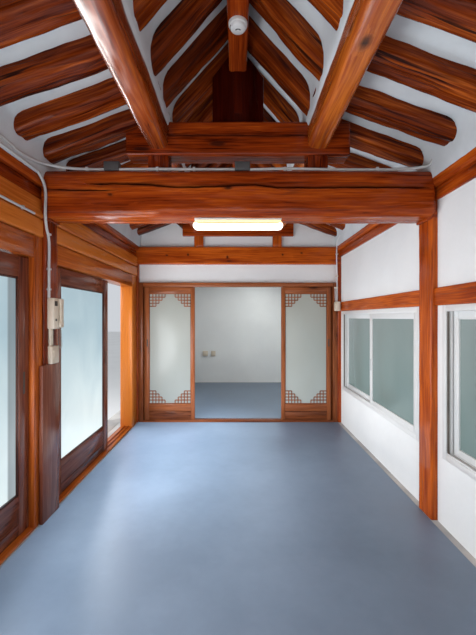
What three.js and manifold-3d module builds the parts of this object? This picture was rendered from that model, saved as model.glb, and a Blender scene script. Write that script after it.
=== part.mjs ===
// A one-room-deep hanok wing: three timber bays on a stone plinth under a tiled gable roof.
// Millimetres, +X to the right, +Y along the wing, +Z up, with the ground at Z = 0.
import * as THREE from "three";
import { mergeVertices } from "three/addons/utils/BufferGeometryUtils.js";
import Module from "manifold-3d";

const wasm = await Module();
wasm.setup();

// Plan of the frame
const FRAMES = [-3900, -1100, 1100, 3900];
const POST = 165;
const POST_X = 1400;
const INNER_X = POST_X - POST / 2;
const OUTER_X = POST_X + POST / 2;
const INNER_Y = FRAMES[3] - POST / 2;
const OUTER_Y = FRAMES[3] + POST / 2;

// Heights
const PLINTH_TOP = 300;
const FLOOR = 400;
const HEAD = FLOOR + 1775;
const LINTEL = FLOOR + 1924;
const BEAM_BOTTOM = FLOOR + 2055;
const BEAM_TOP = FLOOR + 2385;
const TIE_BOTTOM = FLOOR + 2090;
const TIE_TOP = FLOOR + 2320;
const BEARER_BOTTOM = FLOOR + 2186;
const EAVE_PURLIN_BOTTOM = FLOOR + 2270;
const EAVE_PURLIN_TOP = FLOOR + 2403;
const UPPER_BEAM_BOTTOM = FLOOR + 2500;
const MID_PURLIN_BOTTOM = FLOOR + 2540;
const KNEE_Z = FLOOR + 2730;
const RIDGE_PURLIN_BOTTOM = FLOOR + 3090;
const RAIL_BOTTOM = FLOOR + 1467;
const RAIL_TOP = FLOOR + 1588;
const WINDOW_SILL = FLOOR + 450;

// Roof
const KNEE_X = 550;
const LOW_SLOPE = 0.365;
const HIGH_SLOPE = 1.1;
const HIGH_FOOT_X = 480;
const HIGH_FOOT_Z = KNEE_Z + 10;
const RAFTER = 145;
const RAFTER_END = 2180;
const CEILING = 40;
const EAVE_X = 2300;
const ROOF_Y = 4500;
const TIMBER_Y = 4450;
const APEX_Z = FLOOR + 3750;
const RIDGE_HALF = 130;
const LOW_ANGLE = Math.atan(LOW_SLOPE);
const HIGH_ANGLE = Math.atan(HIGH_SLOPE);
const RAFTER_ROWS = {
  left: { side: -1, first: -4207.5, spacing: 303, count: 29 },
  right: { side: 1, first: -4217.5, spacing: 350, count: 25 },
};

// Running fits
const GAP = 0.4;
const SILL = 20;
const TRACK_TOP = FLOOR + SILL + 8;
const LEAF_BOTTOM = TRACK_TOP + 5;

const finish = (color, roughness, metalness = 0) =>
  new THREE.MeshStandardMaterial({ color, roughness, metalness });
const pine = finish(0xa9501b, 0.32);
const darkPine = finish(0x5a2411, 0.35);
const plaster = finish(0xe9e8e3, 0.85);
const stone = finish(0xa7a39b, 0.9);
const concrete = finish(0x8f98a3, 0.35);
const tile = finish(0x4a4d50, 0.75);
const frosted = finish(0xcfdcd8, 0.25);
const pvc = finish(0xf2f3f1, 0.35);
const conduitGrey = finish(0xb9bcbc, 0.5);
const beige = finish(0xd9cdb8, 0.45);
const opal = finish(0xfff4e0, 0.4);

// Solids

function solidFrom(geometry) {
  geometry.deleteAttribute("normal");
  geometry.deleteAttribute("uv");
  const merged = mergeVertices(geometry, 1e-3);
  return new wasm.Manifold(
    new wasm.Mesh({
      numProp: 3,
      vertProperties: merged.attributes.position.array,
      triVerts: new Uint32Array(merged.index.array),
    }),
  );
}

function geometryFrom(solid) {
  const mesh = solid.getMesh();
  const indexed = new THREE.BufferGeometry();
  indexed.setAttribute("position", new THREE.BufferAttribute(mesh.vertProperties, 3));
  indexed.setIndex(new THREE.BufferAttribute(mesh.triVerts, 1));
  const flat = indexed.toNonIndexed();
  flat.computeVertexNormals();
  return flat;
}

function join(solids) {
  return solids.reduce((whole, next) => whole.add(next));
}

function cutAll(solid, tools) {
  return tools.reduce((rest, tool) => rest.subtract(tool), solid);
}

function block(x0, x1, y0, y1, z0, z1) {
  const box = new THREE.BoxGeometry(x1 - x0, y1 - y0, z1 - z0);
  return solidFrom(box.translate((x0 + x1) / 2, (y0 + y1) / 2, (z0 + z1) / 2));
}

function extruded(outline, depth) {
  const shape = new THREE.Shape(outline.map(([a, b]) => new THREE.Vector2(a, b)));
  return new THREE.ExtrudeGeometry(shape, { depth, bevelEnabled: false, steps: 1 });
}

const X_AXIS = new THREE.Vector3(1, 0, 0);
const Y_AXIS = new THREE.Vector3(0, 1, 0);
const Z_AXIS = new THREE.Vector3(0, 0, 1);
const TO_Y = new THREE.Matrix4().makeBasis(X_AXIS, Z_AXIS, new THREE.Vector3(0, -1, 0));
const TO_X = new THREE.Matrix4().makeBasis(Y_AXIS, Z_AXIS, X_AXIS);

// An outline of [x, z] points carried along Y, and one of [y, z] points carried along X.
function prismY(outline, y0, y1) {
  return solidFrom(extruded(outline, y1 - y0).applyMatrix4(TO_Y).translate(0, y1, 0));
}

function barX(outline, x0, x1) {
  return extruded(outline, x1 - x0).applyMatrix4(TO_X).translate(x0, 0, 0);
}

// A timber's section with its four corners taken off.
function chamfered(a0, a1, b0, b1, c) {
  return [
    [a0 + c, b0],
    [a1 - c, b0],
    [a1, b0 + c],
    [a1, b1 - c],
    [a1 - c, b1],
    [a0 + c, b1],
    [a0, b1 - c],
    [a0, b0 + c],
  ];
}

const mirrored = (outline) => outline.map(([x, z]) => [-x, z]);

// Roof lines, as heights over a distance x from the ridge's plane

const lowUnder = (x) => KNEE_Z - LOW_SLOPE * (x - KNEE_X);
const highUnder = (x) => HIGH_FOOT_Z - HIGH_SLOPE * (x - HIGH_FOOT_X);
const lowOver = (x, extra) => lowUnder(x) + (RAFTER + extra) / Math.cos(LOW_ANGLE);
const highOver = (x, extra) => highUnder(x) + (RAFTER + extra) / Math.cos(HIGH_ANGLE);

// The bent line that lies a given distance over the rafters, from the ridge out to xEnd.
function bentLine(extra, xEnd) {
  const bend = (highOver(0, extra) - lowOver(0, extra)) / (HIGH_SLOPE - LOW_SLOPE);
  return [
    [0, highOver(0, extra)],
    [bend, lowOver(bend, extra)],
    [xEnd, lowOver(xEnd, extra)],
  ];
}

function gableOutline(footX, footZ, edgeX, stepZ) {
  const half = [...bentLine(0, edgeX), [edgeX, stepZ], [footX, stepZ], [footX, footZ]];
  return [...half, ...mirrored(half).reverse().slice(0, -1)];
}

// Purlins

function eavePurlinOutline(grow) {
  return chamfered(1310 - grow, 1490 + grow, EAVE_PURLIN_BOTTOM - grow, EAVE_PURLIN_TOP + grow, 45);
}

function bearer(side, grow, y0, y1) {
  const inner = 1345 - grow;
  const outer = 1455 + grow;
  const [x0, x1] = side > 0 ? [inner, outer] : [-outer, -inner];
  return block(x0, x1, y0, y1, BEARER_BOTTOM - grow, EAVE_PURLIN_BOTTOM + 20);
}

function eavePurlin(side, grow) {
  const outline = eavePurlinOutline(grow);
  const reach = TIMBER_Y + grow;
  const log = prismY(side > 0 ? outline : mirrored(outline), -reach, reach);
  return log.add(bearer(side, grow, -reach, reach));
}

const MID_PURLIN_HALF = 72.5;

function midPurlin(side, grow) {
  const x0 = KNEE_X - MID_PURLIN_HALF - grow;
  const x1 = KNEE_X + MID_PURLIN_HALF + grow;
  const outline = [
    [x0 + 30, MID_PURLIN_BOTTOM - grow],
    [x1 - 30, MID_PURLIN_BOTTOM - grow],
    [x1, MID_PURLIN_BOTTOM + 30 - grow],
    [x1, lowUnder(x1) - GAP + grow],
    [KNEE_X, KNEE_Z - GAP + grow],
    [x0, KNEE_Z - GAP + grow],
    [x0, MID_PURLIN_BOTTOM + 30 - grow],
  ];
  const reach = TIMBER_Y + grow;
  return prismY(side > 0 ? outline : mirrored(outline), -reach, reach);
}

const RIDGE_PURLIN_HALF = 62.5;

function ridgePurlin(grow) {
  const half = RIDGE_PURLIN_HALF + grow;
  const lift = grow - 1.5 * GAP;
  const outline = [
    [-half, RIDGE_PURLIN_BOTTOM - grow],
    [half, RIDGE_PURLIN_BOTTOM - grow],
    [half, highUnder(half) + lift],
    [0, highUnder(0) + lift],
    [-half, highUnder(half) + lift],
  ];
  const reach = TIMBER_Y + grow;
  return prismY(outline, -reach, reach);
}

const PURLIN_CUTS = [
  eavePurlin(-1, GAP),
  eavePurlin(1, GAP),
  midPurlin(-1, GAP),
  midPurlin(1, GAP),
  ridgePurlin(GAP),
];

// Rafters: eight-sided logs, flat side up, the lower rows and the upper rows staggered

const FLAT_HALF = Math.tan(Math.PI / 8);

function rafterSection(half, openTop) {
  const flat = half * FLAT_HALF;
  const lower = [
    [-half, -flat],
    [-flat, -half],
    [flat, -half],
    [half, -flat],
  ];
  if (openTop) {
    return [...lower, [half, 3 * half], [-half, 3 * half]];
  }
  return [...lower, [half, flat], [flat, half], [-flat, half], [-half, flat]];
}

function rafter(side, y, centreX, centreZ, angle, length, grow) {
  const section = rafterSection(RAFTER / 2 + grow, grow > 0);
  const bar = barX(section, -length / 2, length / 2);
  return solidFrom(bar.rotateY(side * angle).translate(side * centreX, y, centreZ));
}

function lowRafters({ side, first, spacing, count }, grow) {
  const centreX = 1330;
  const centreZ = lowUnder(centreX) + RAFTER / 2 / Math.cos(LOW_ANGLE);
  return Array.from({ length: count }, (_, i) =>
    rafter(side, first + i * spacing, centreX, centreZ, LOW_ANGLE, 2200, grow),
  );
}

function highRafters({ side, first, spacing, count }, grow) {
  const centreX = 300;
  const centreZ = highUnder(centreX) + RAFTER / 2 / Math.cos(HIGH_ANGLE);
  return Array.from({ length: count - 1 }, (_, i) =>
    rafter(side, first + (i + 0.5) * spacing, centreX, centreZ, HIGH_ANGLE, 1300, grow),
  );
}

function sideRange(side, near, far) {
  return side > 0 ? [near, far] : [-far, -near];
}

function lowRafterRow(row) {
  const [x0, x1] = sideRange(row.side, HIGH_FOOT_X, RAFTER_END);
  const strip = [...bentLine(-8, RAFTER_END).slice(2), ...bentLine(CEILING, RAFTER_END).slice(2)];
  const inner = RAFTER_END - 60;
  const outline = [...strip, [inner, lowOver(inner, CEILING)], [inner, lowOver(inner, -8)]];
  const eaveStrip = prismY(row.side > 0 ? outline : mirrored(outline), -TIMBER_Y, TIMBER_Y);
  const reach = block(x0, x1, -TIMBER_Y, TIMBER_Y, FLOOR + 1500, APEX_Z);
  return join(lowRafters(row, 0)).intersect(reach).add(eaveStrip);
}

function highRafterRow(row) {
  const [x0, x1] = sideRange(row.side, 0, KNEE_X + MID_PURLIN_HALF);
  const reach = block(x0, x1, -TIMBER_Y, TIMBER_Y, KNEE_Z + GAP, APEX_Z);
  return join(highRafters(row, 0)).intersect(reach);
}

const STRIP_HALF = 60;
const STRIP_DEPTH = 30;

function ridgeStrip() {
  const half = [
    [0, highOver(0, 0)],
    [STRIP_HALF, highOver(STRIP_HALF, 0)],
    [STRIP_HALF, highOver(STRIP_HALF, -STRIP_DEPTH)],
    [0, highOver(0, -STRIP_DEPTH)],
  ];
  const right = prismY(half, -TIMBER_Y, TIMBER_Y);
  return right.add(prismY(mirrored(half), -TIMBER_Y, TIMBER_Y));
}

// Roof covering

function ceilingHalf(row) {
  const innerEnd = RAFTER_END - 60 - 2 * GAP;
  const outline = [...bentLine(GAP, innerEnd), ...bentLine(CEILING + GAP, innerEnd).reverse()];
  const sheet = prismY(row.side > 0 ? outline : mirrored(outline), -TIMBER_Y, TIMBER_Y);
  const [x0, x1] = sideRange(row.side, 1360, 1400);
  const top = lowOver(1380, CEILING / 2);
  const rib = block(x0, x1, -INNER_Y, INNER_Y, EAVE_PURLIN_TOP, top);
  return sheet.add(cutAll(rib, lowRafters(row, GAP)));
}

const roofCurve = new THREE.QuadraticBezierCurve(
  new THREE.Vector2(EAVE_X, lowOver(EAVE_X, CEILING) + 70),
  new THREE.Vector2(1000, FLOOR + 2760),
  new THREE.Vector2(0, APEX_Z),
);
const RIDGE_SEAT = Math.round(APEX_Z - RIDGE_HALF * 0.96);
const TILE_PITCH = 300;
const TILE_ROWS = (2 * ROOF_Y) / TILE_PITCH;
const TILE_RISE = 80;

// One row of round tiles, as a tapered bar that follows the roof's curve from eave to ridge.
function tileRow(y) {
  const section = [
    [-68, -20],
    [68, -20],
    [32, TILE_RISE],
    [-32, TILE_RISE],
  ];
  const sides = section.length;
  const steps = 8;
  const spots = [];
  const faces = [];
  for (let step = 0; step <= steps; step += 1) {
    const spot = roofCurve.getPoint(step / steps);
    const way = roofCurve.getTangent(step / steps);
    section.forEach(([across, rise]) => {
      spots.push(spot.x + way.y * rise, y + across, spot.y - way.x * rise);
    });
  }
  for (let step = 0; step < steps; step += 1) {
    for (let i = 0; i < sides; i += 1) {
      const here = step * sides + i;
      const beside = step * sides + ((i + 1) % sides);
      faces.push(here, beside + sides, beside, here, here + sides, beside + sides);
    }
  }
  const last = steps * sides;
  faces.push(0, 1, 2, 0, 2, 3, last, last + 2, last + 1, last, last + 3, last + 2);
  const row = new THREE.BufferGeometry();
  row.setAttribute("position", new THREE.Float32BufferAttribute(spots, 3));
  row.setIndex(faces);
  return solidFrom(row);
}

function roofHalf(side) {
  const under = bentLine(CEILING + 2 * GAP, EAVE_X);
  const over = roofCurve
    .getPoints(12)
    .map((p) => [p.x, p.y])
    .filter(([x, z]) => x > RIDGE_HALF + 20 && z < RIDGE_SEAT);
  const outline = [...under, ...over, [RIDGE_HALF, RIDGE_SEAT], [0, RIDGE_SEAT]];
  const rows = Array.from({ length: TILE_ROWS }, (_, i) => tileRow((i + 0.5) * TILE_PITCH - ROOF_Y));
  const reach = block(RIDGE_HALF + GAP, EAVE_X, -ROOF_Y, ROOF_Y, FLOOR + 2000, APEX_Z + 100);
  const half = prismY(outline, -ROOF_Y, ROOF_Y).add(join(rows).intersect(reach));
  return side > 0 ? half : half.mirror([1, 0, 0]);
}

function ridgeStack() {
  const half = [
    [RIDGE_HALF, RIDGE_SEAT],
    [RIDGE_HALF, RIDGE_SEAT + 50],
    [105, RIDGE_SEAT + 50],
    [105, RIDGE_SEAT + 310],
    [85, RIDGE_SEAT + 350],
    [45, RIDGE_SEAT + 375],
  ];
  const outline = [...half, ...mirrored(half).reverse()];
  return prismY(outline, -ROOF_Y - 20, ROOF_Y + 20);
}

function vergeBoards() {
  const top = bentLine(CEILING - GAP, EAVE_X - 60);
  const bottom = top.map(([x, z]) => [x, z - 240]);
  const half = [...top, ...bottom.reverse()];
  const thickness = 35;
  return prismY(half, 0, thickness).add(prismY(mirrored(half), 0, thickness));
}

// Frames across the wing

function mainBeam() {
  const end = 1560;
  const section = chamfered(-120, 120, BEAM_BOTTOM, BEAM_TOP, 55);
  const log = solidFrom(barX(section, -end, end));
  const cuts = [-1, 1].flatMap((side) => {
    const [n0, n1] = sideRange(side, 1305, end + 10);
    const [t0, t1] = sideRange(side, INNER_X, end + 10);
    return [
      block(n0, n1, -130, 130, BEARER_BOTTOM, BEAM_TOP + 10),
      block(t0, t1, -130, -POST / 2, BEAM_BOTTOM - 10, BEARER_BOTTOM + 10),
      block(t0, t1, POST / 2, 130, BEAM_BOTTOM - 10, BEARER_BOTTOM + 10),
    ];
  });
  return cutAll(log, cuts);
}

// The short beam that ties the two middle purlins, its ends sloped under the rafters.
function upperBeam(half, bottom, y0, y1) {
  const endTop = lowUnder(half) - GAP;
  const side = [
    [half, bottom],
    [half, endTop],
    [KNEE_X, KNEE_Z - GAP],
    [400, KNEE_Z],
  ];
  return prismY([...side, ...mirrored(side).reverse()], y0, y1);
}

// The upright board that carries the ridge purlin, its shoulders sloped under the rafters.
function kingBoard(half, y0, y1) {
  const shoulder = highUnder(half) - 23;
  const neck = RIDGE_PURLIN_HALF;
  const side = [
    [half, KNEE_Z - 0.25],
    [half, shoulder],
    [neck, highUnder(neck) - 3 * GAP],
  ];
  return prismY([...side, ...mirrored(side).reverse()], y0, y1);
}

function tieBeam(y0, y1) {
  const end = 1560;
  const shoulder = 1305;
  const side = [
    [end, TIE_BOTTOM],
    [end, BEARER_BOTTOM],
    [shoulder, BEARER_BOTTOM],
    [shoulder, TIE_TOP],
  ];
  return prismY([...side, ...mirrored(side).reverse()], y0, y1);
}

function pairX(centre, half, y0, y1, z0, z1) {
  return [
    block(-centre - half, -centre + half, y0, y1, z0, z1),
    block(centre - half, centre + half, y0, y1, z0, z1),
  ];
}

// Local to the partition's plane: the plaster runs from -20 to 30 behind the truss.
const PARTITION_FACE = -20;
const PARTITION_BACK = 30;

function partitionTruss() {
  const whole = join([
    tieBeam(-80, 80),
    ...pairX(520, 60, -70, PARTITION_FACE, TIE_TOP - 20, FLOOR + 2480),
    upperBeam(735, FLOOR + 2465, -70, PARTITION_FACE),
    kingBoard(150, -70, PARTITION_FACE),
    block(-140, 140, -60, PARTITION_FACE, KNEE_Z - 30, KNEE_Z + 30),
  ]);
  return cutAll(whole, PURLIN_CUTS);
}

// Local to a gable's plane, with the outside on -Y: the plaster backs the timbers and fills between them.
const GABLE_FACE = 10;
const GABLE_BACK = 60;
const GABLE_PANEL = -POST / 2 + 25;

function gableFrame() {
  const out = -POST / 2;
  const whole = join([
    ...pairX(POST_X, POST / 2, out, POST / 2, FLOOR, TIE_BOTTOM + 20),
    tieBeam(out, GABLE_FACE),
    ...pairX((INNER_X + 1560) / 2, (1560 - INNER_X) / 2, out, POST / 2, TIE_BOTTOM, BEARER_BOTTOM),
    block(-60, 60, out, GABLE_FACE, FLOOR, TIE_BOTTOM + 20),
    block(-INNER_X - 20, INNER_X + 20, out + 10, GABLE_FACE, RAIL_BOTTOM, RAIL_TOP),
    block(-INNER_X - 20, INNER_X + 20, out + 10, GABLE_FACE, FLOOR, FLOOR + 130),
    ...pairX(KNEE_X, 70, out, GABLE_FACE, TIE_TOP - 20, UPPER_BEAM_BOTTOM + 20),
    upperBeam(770, UPPER_BEAM_BOTTOM, out, GABLE_FACE),
    block(-70, 70, out, GABLE_FACE, KNEE_Z - 20, RIDGE_PURLIN_BOTTOM),
  ]);
  return cutAll(whole, PURLIN_CUTS);
}

// The plate of plaster across the wing, cut round the purlins and rafters that cross it.
function crossWall(outline, y0, y1) {
  const rows = [RAFTER_ROWS.left, RAFTER_ROWS.right];
  const near = (row, shift) => (_, i) => {
    const y = row.first + (i + shift) * row.spacing;
    return y + RAFTER > y0 && y - RAFTER < y1;
  };
  const cuts = rows.flatMap((row) => [
    ...lowRafters(row, GAP).filter(near(row, 0)),
    ...highRafters(row, GAP).filter(near(row, 0.5)),
  ]);
  const stripHalf = STRIP_HALF + GAP;
  const stripFoot = highOver(stripHalf, -STRIP_DEPTH) - GAP;
  const strip = block(-stripHalf, stripHalf, y0 - 10, y1 + 10, stripFoot, APEX_Z);
  return cutAll(prismY(outline, y0, y1), [...PURLIN_CUTS, strip, ...cuts]);
}

// Ground works

function stonePlinth() {
  const reachX = 1900;
  const reachY = 4300;
  const stoneX = 1530;
  const stoneHalf = 130;
  const curb = block(-OUTER_X, OUTER_X, -OUTER_Y, OUTER_Y, PLINTH_TOP - 10, FLOOR);
  const stones = FRAMES.flatMap((y) => {
    const outward = Math.abs(y) > 2000 ? Math.sign(y) : 0;
    const y0 = y - (outward > 0 ? POST / 2 : stoneHalf);
    const y1 = y + (outward < 0 ? POST / 2 : stoneHalf);
    return [-1, 1].map((side) => {
      const [x0, x1] = sideRange(side, INNER_X, stoneX);
      return block(x0, x1, y0, y1, PLINTH_TOP - 10, FLOOR);
    });
  });
  const hollow = block(-INNER_X, INNER_X, -INNER_Y, INNER_Y, PLINTH_TOP, FLOOR + 10);
  const base = block(-reachX, reachX, -reachY, reachY, 0, PLINTH_TOP);
  return join([base, curb, ...stones]).subtract(hollow);
}

// Side walls, local to their bay's middle and to the side's post line, mirrored by the caller

const WALL_NEAR = INNER_X + 45;
const WALL_FAR = WALL_NEAR + 90;
const WALL_MARGIN = 60;

function bayRange(bay) {
  return [FRAMES[bay] + POST / 2, FRAMES[bay + 1] - POST / 2];
}

function sideWall(side, bay, holeBottom) {
  const [y0, y1] = bayRange(bay);
  const [x0, x1] = sideRange(side, WALL_NEAR, WALL_FAR);
  const plate = block(x0, x1, y0, y1, FLOOR, BEARER_BOTTOM);
  const hole = block(x0 - 5, x1 + 5, y0 + WALL_MARGIN, y1 - WALL_MARGIN, holeBottom, RAIL_TOP);
  return plate.subtract(hole);
}

function sideRail(side, bay) {
  const [y0, y1] = bayRange(bay);
  const [near0, near1] = sideRange(side, WALL_NEAR - 25, WALL_NEAR);
  const [core0, core1] = sideRange(side, WALL_NEAR - 5, WALL_FAR + 5);
  const [far0, far1] = sideRange(side, WALL_FAR, WALL_FAR + 25);
  return join([
    block(near0, near1, y0, y1, RAIL_BOTTOM, RAIL_TOP),
    block(core0, core1, y0 + WALL_MARGIN, y1 - WALL_MARGIN, RAIL_BOTTOM, RAIL_TOP),
    block(far0, far1, y0, y1, RAIL_BOTTOM, RAIL_TOP),
  ]);
}

function slidingWindow(bay) {
  const frame = 50;
  const sash = 60;
  const [b0, b1] = bayRange(bay);
  const y0 = b0 + WALL_MARGIN;
  const y1 = b1 - WALL_MARGIN;
  const mid = (y0 + y1) / 2;
  const near = WALL_NEAR - 5;
  const far = WALL_FAR - 5;
  const glass = (near + far) / 2;
  const outer = block(near, far, y0, y1, WINDOW_SILL, RAIL_BOTTOM);
  const hole = block(
    near - 5,
    far + 5,
    y0 + frame,
    y1 - frame,
    WINDOW_SILL + frame,
    RAIL_BOTTOM - frame,
  );
  const panes = [
    [y0 + frame - 5, mid + sash / 2, glass - 32, glass - 2],
    [mid - sash / 2, y1 - frame + 5, glass + 2, glass + 32],
  ];
  const sashes = panes.map(([s0, s1, x0, x1]) => {
    const z0 = WINDOW_SILL + frame - 5;
    const z1 = RAIL_BOTTOM - frame + 5;
    const leaf = block(x0, x1, s0, s1, z0, z1);
    const inset = [s0 + sash, s1 - sash, z0 + sash, z1 - sash];
    return leaf
      .subtract(block(x0 - 5, x0 + 11, ...inset))
      .subtract(block(x1 - 11, x1 + 5, ...inset));
  });
  const stop = block(glass - 3, glass + 3, mid - 8, mid + 8, WINDOW_SILL + 10, RAIL_BOTTOM - 10);
  return join([outer.subtract(hole), ...sashes, stop]);
}

// Sliding doors

const TRACK_HALF = 6;
const SHOE_HALF = 5;
const LEAF_HALF = 17.5;
const INNER_TRACK = -1375;
const OUTER_TRACK = -1420;

function leftDoorFrame(bay, nearJamb, farJamb) {
  const [y0, y1] = bayRange(bay);
  const far = -WALL_FAR - 25;
  const near = -INNER_X - 10;
  const track = (x) =>
    block(x - TRACK_HALF, x + TRACK_HALF, y0 + nearJamb, y1 - farJamb, FLOOR + SILL - 5, TRACK_TOP);
  return join([
    block(far, near, y0, y1, FLOOR, FLOOR + SILL),
    block(far, near, y0, y1, HEAD, LINTEL),
    block(far, near, y0, y0 + nearJamb, FLOOR, LINTEL),
    block(far, near, y1 - farJamb, y1, FLOOR, LINTEL),
    track(INNER_TRACK),
    track(OUTER_TRACK),
  ]);
}

// A leaf at the origin, its width along Y: stiles, rails and one sheet of glass.
function leftLeaf(width) {
  const stile = 100;
  const top = HEAD - 8;
  const glassBottom = FLOOR + 278;
  const glassTop = FLOOR + 1637;
  const body = block(-LEAF_HALF, LEAF_HALF, 0, width, LEAF_BOTTOM, top);
  const inset = [stile, width - stile, glassBottom, glassTop];
  const shoe = (y) =>
    block(-SHOE_HALF, SHOE_HALF, y - 30, y + 30, TRACK_TOP + GAP, LEAF_BOTTOM + 5);
  return join([
    body.subtract(block(3, 30, ...inset)).subtract(block(-30, -3, ...inset)),
    shoe(100),
    shoe(width - 100),
  ]);
}

const PARTITION_HEAD = FLOOR + 1793;
const PARTITION_HEAD_TOP = FLOOR + 1846;
const JAMB = 60;
const JAMB_X = INNER_X - JAMB;

// Local to the partition's plane: the sliding leaves run at -45, the fixed lights stand at -3.
const LEAF_PLANE = -45;
const LIGHT_PLANE = -3;
const PARTITION_GLASS = [FLOOR + 240, FLOOR + 1702];

function glazedPanel(x0, x1, plane, z0, z1) {
  const half = 15;
  const stile = 52;
  const inset = [x0 + stile, x1 - stile];
  const [g0, g1] = PARTITION_GLASS;
  return block(x0, x1, plane - half, plane + half, z0, z1)
    .subtract(block(...inset, plane + 3, plane + half + 5, g0, g1))
    .subtract(block(...inset, plane - half - 5, plane - 3, g0, g1));
}

function partitionDoorFrame() {
  const y0 = -75;
  const y1 = 45;
  const trackX = JAMB_X + 2;
  return join([
    block(-INNER_X, -JAMB_X, y0, y1, FLOOR, PARTITION_HEAD_TOP),
    block(JAMB_X, INNER_X, y0, y1, FLOOR, PARTITION_HEAD_TOP),
    block(-INNER_X, INNER_X, y0, y1, PARTITION_HEAD, PARTITION_HEAD_TOP),
    block(-INNER_X, INNER_X, y0, y1, FLOOR, FLOOR + SILL),
    block(
      -trackX,
      trackX,
      LEAF_PLANE - TRACK_HALF,
      LEAF_PLANE + TRACK_HALF,
      FLOOR + SILL - 5,
      TRACK_TOP,
    ),
    glazedPanel(600, JAMB_X + 2, LIGHT_PLANE, FLOOR + SILL - 5, PARTITION_HEAD + 5),
    glazedPanel(-JAMB_X - 2, -600, LIGHT_PLANE, FLOOR + SILL - 5, PARTITION_HEAD + 5),
  ]);
}

function partitionLeaf(width) {
  const shoe = (x) =>
    block(x - 30, x + 30, -SHOE_HALF, SHOE_HALF, TRACK_TOP + GAP, LEAF_BOTTOM + 5);
  const half = width / 2;
  return join([
    glazedPanel(-half, half, 0, LEAF_BOTTOM, PARTITION_HEAD - 6),
    shoe(90 - half),
    shoe(half - 90),
  ]);
}

// Fittings

function stadium(halfLength, halfWidth, z0, z1) {
  const run = halfLength - halfWidth;
  const shape = new THREE.Shape();
  shape.absarc(run, 0, halfWidth, -Math.PI / 2, Math.PI / 2, false);
  shape.absarc(-run, 0, halfWidth, Math.PI / 2, (3 * Math.PI) / 2, false);
  const options = { depth: z1 - z0, bevelEnabled: false, curveSegments: 6 };
  return solidFrom(new THREE.ExtrudeGeometry(shape, options).translate(0, 0, z0));
}

function disc(radius, z0, z1) {
  const round = new THREE.CylinderGeometry(radius, radius, z1 - z0, 20);
  return solidFrom(round.rotateX(Math.PI / 2).translate(0, 0, (z0 + z1) / 2));
}

function tube(points, radius, steps) {
  const shape = new THREE.Shape();
  shape.absarc(0, 0, radius, 0, 2 * Math.PI, false);
  const path = new THREE.CatmullRomCurve3(
    points.map((p) => new THREE.Vector3(...p)),
    false,
    "centripetal",
  );
  const round = new THREE.ExtrudeGeometry(shape, {
    steps,
    bevelEnabled: false,
    extrudePath: path,
    curveSegments: 4,
  });
  return solidFrom(round);
}

const CONDUIT = 9;

function beamConduit() {
  const y = -82;
  const z = BEAM_TOP + CONDUIT + 1;
  const run = solidFrom(barX(chamfered(y - CONDUIT, y + CONDUIT, z - CONDUIT, z + CONDUIT, 5), -1290, 1290));
  const box = (x) => block(x - 52, x + 52, -100, -50, BEAM_TOP, BEAM_TOP + 60);
  return join([run, box(-860), box(30)]);
}

// Along the left eave purlin, round the face of the main beam, and down the post.
function postConduit() {
  const wallX = -1299;
  const faceX = -INNER_X + CONDUIT + 0.5;
  const frameY = FRAMES[1];
  const beamFace = frameY - 120 - CONDUIT - 4;
  const points = [
    [wallX, -3790, 2735],
    [wallX, -2600, 2735],
    [wallX, -1420, 2735],
    [wallX + 4, -1290, 2720],
    [wallX + 12, beamFace, 2640],
    [wallX + 12, beamFace, 2480],
    [faceX + 2, frameY - 85, 2400],
    [faceX, frameY - 50, 2310],
    [faceX, frameY - 50, 2100],
    [faceX, frameY - 50, 1922],
  ];
  return tube(points, CONDUIT, 56);
}

// The wall phone with its handset, and the switch box below it on the same run of conduit.
function intercom() {
  const face = -INNER_X;
  const y = FRAMES[1];
  return join([
    block(face, face + 32, y - 58, y + 62, FLOOR + 1305, FLOOR + 1521),
    block(face + 25, face + 66, y + 6, y + 52, FLOOR + 1315, FLOOR + 1512),
    block(face, face + 18, y - 15, y + 3, FLOOR + 1170, FLOOR + 1315),
    block(face, face + 34, y - 52, y + 40, FLOOR + 1062, FLOOR + 1185),
  ]);
}

// The house

const house = new THREE.Group();

function add(name, solid, material, x = 0, y = 0, z = 0, parent = house) {
  const mesh = new THREE.Mesh(geometryFrom(solid), material.clone());
  mesh.name = name;
  mesh.position.set(x, y, z);
  parent.add(mesh);
  return mesh;
}

function frameGroup(y) {
  const group = new THREE.Group();
  group.position.y = y;
  house.add(group);
  return group;
}

add("stone_plinth", stonePlinth(), stone);
add("floor_slab", block(-INNER_X, INNER_X, -INNER_Y, INNER_Y, PLINTH_TOP, FLOOR), concrete);

// Main frame
const mainFrame = frameGroup(FRAMES[1]);
const partitionFrame = frameGroup(FRAMES[2]);
const sides = [
  ["left", -1],
  ["right", 1],
];
for (const [word, side] of sides) {
  const half = POST / 2;
  const mainPost = block(-half, half, -half, half, FLOOR, BEAM_BOTTOM);
  const partitionPost = block(-half, half, -half, half, FLOOR, TIE_BOTTOM);
  const strut = block(-70, 70, -70, 70, BEAM_TOP, UPPER_BEAM_BOTTOM);
  add("main_" + word + "_post", mainPost, pine, side * POST_X, 0, 0, mainFrame);
  add("main_" + word + "_strut", strut, darkPine, side * KNEE_X, 0, 0, mainFrame);
  add("partition_" + word + "_post", partitionPost, pine, side * POST_X, 0, 0, partitionFrame);
}
add("main_beam", mainBeam(), pine, 0, 0, 0, mainFrame);
const mainUpper = cutAll(upperBeam(770, UPPER_BEAM_BOTTOM, -75, 75), PURLIN_CUTS);
add("main_upper_beam", mainUpper, pine, 0, 0, 0, mainFrame);
const mainKing = cutAll(kingBoard(177.5, -45, 45), PURLIN_CUTS);
const kingFoot = block(-200, 200, -60, 60, KNEE_Z - 50, KNEE_Z);
add("main_king_board", mainKing.subtract(kingFoot), darkPine, 0, 0, 0, mainFrame);

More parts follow.
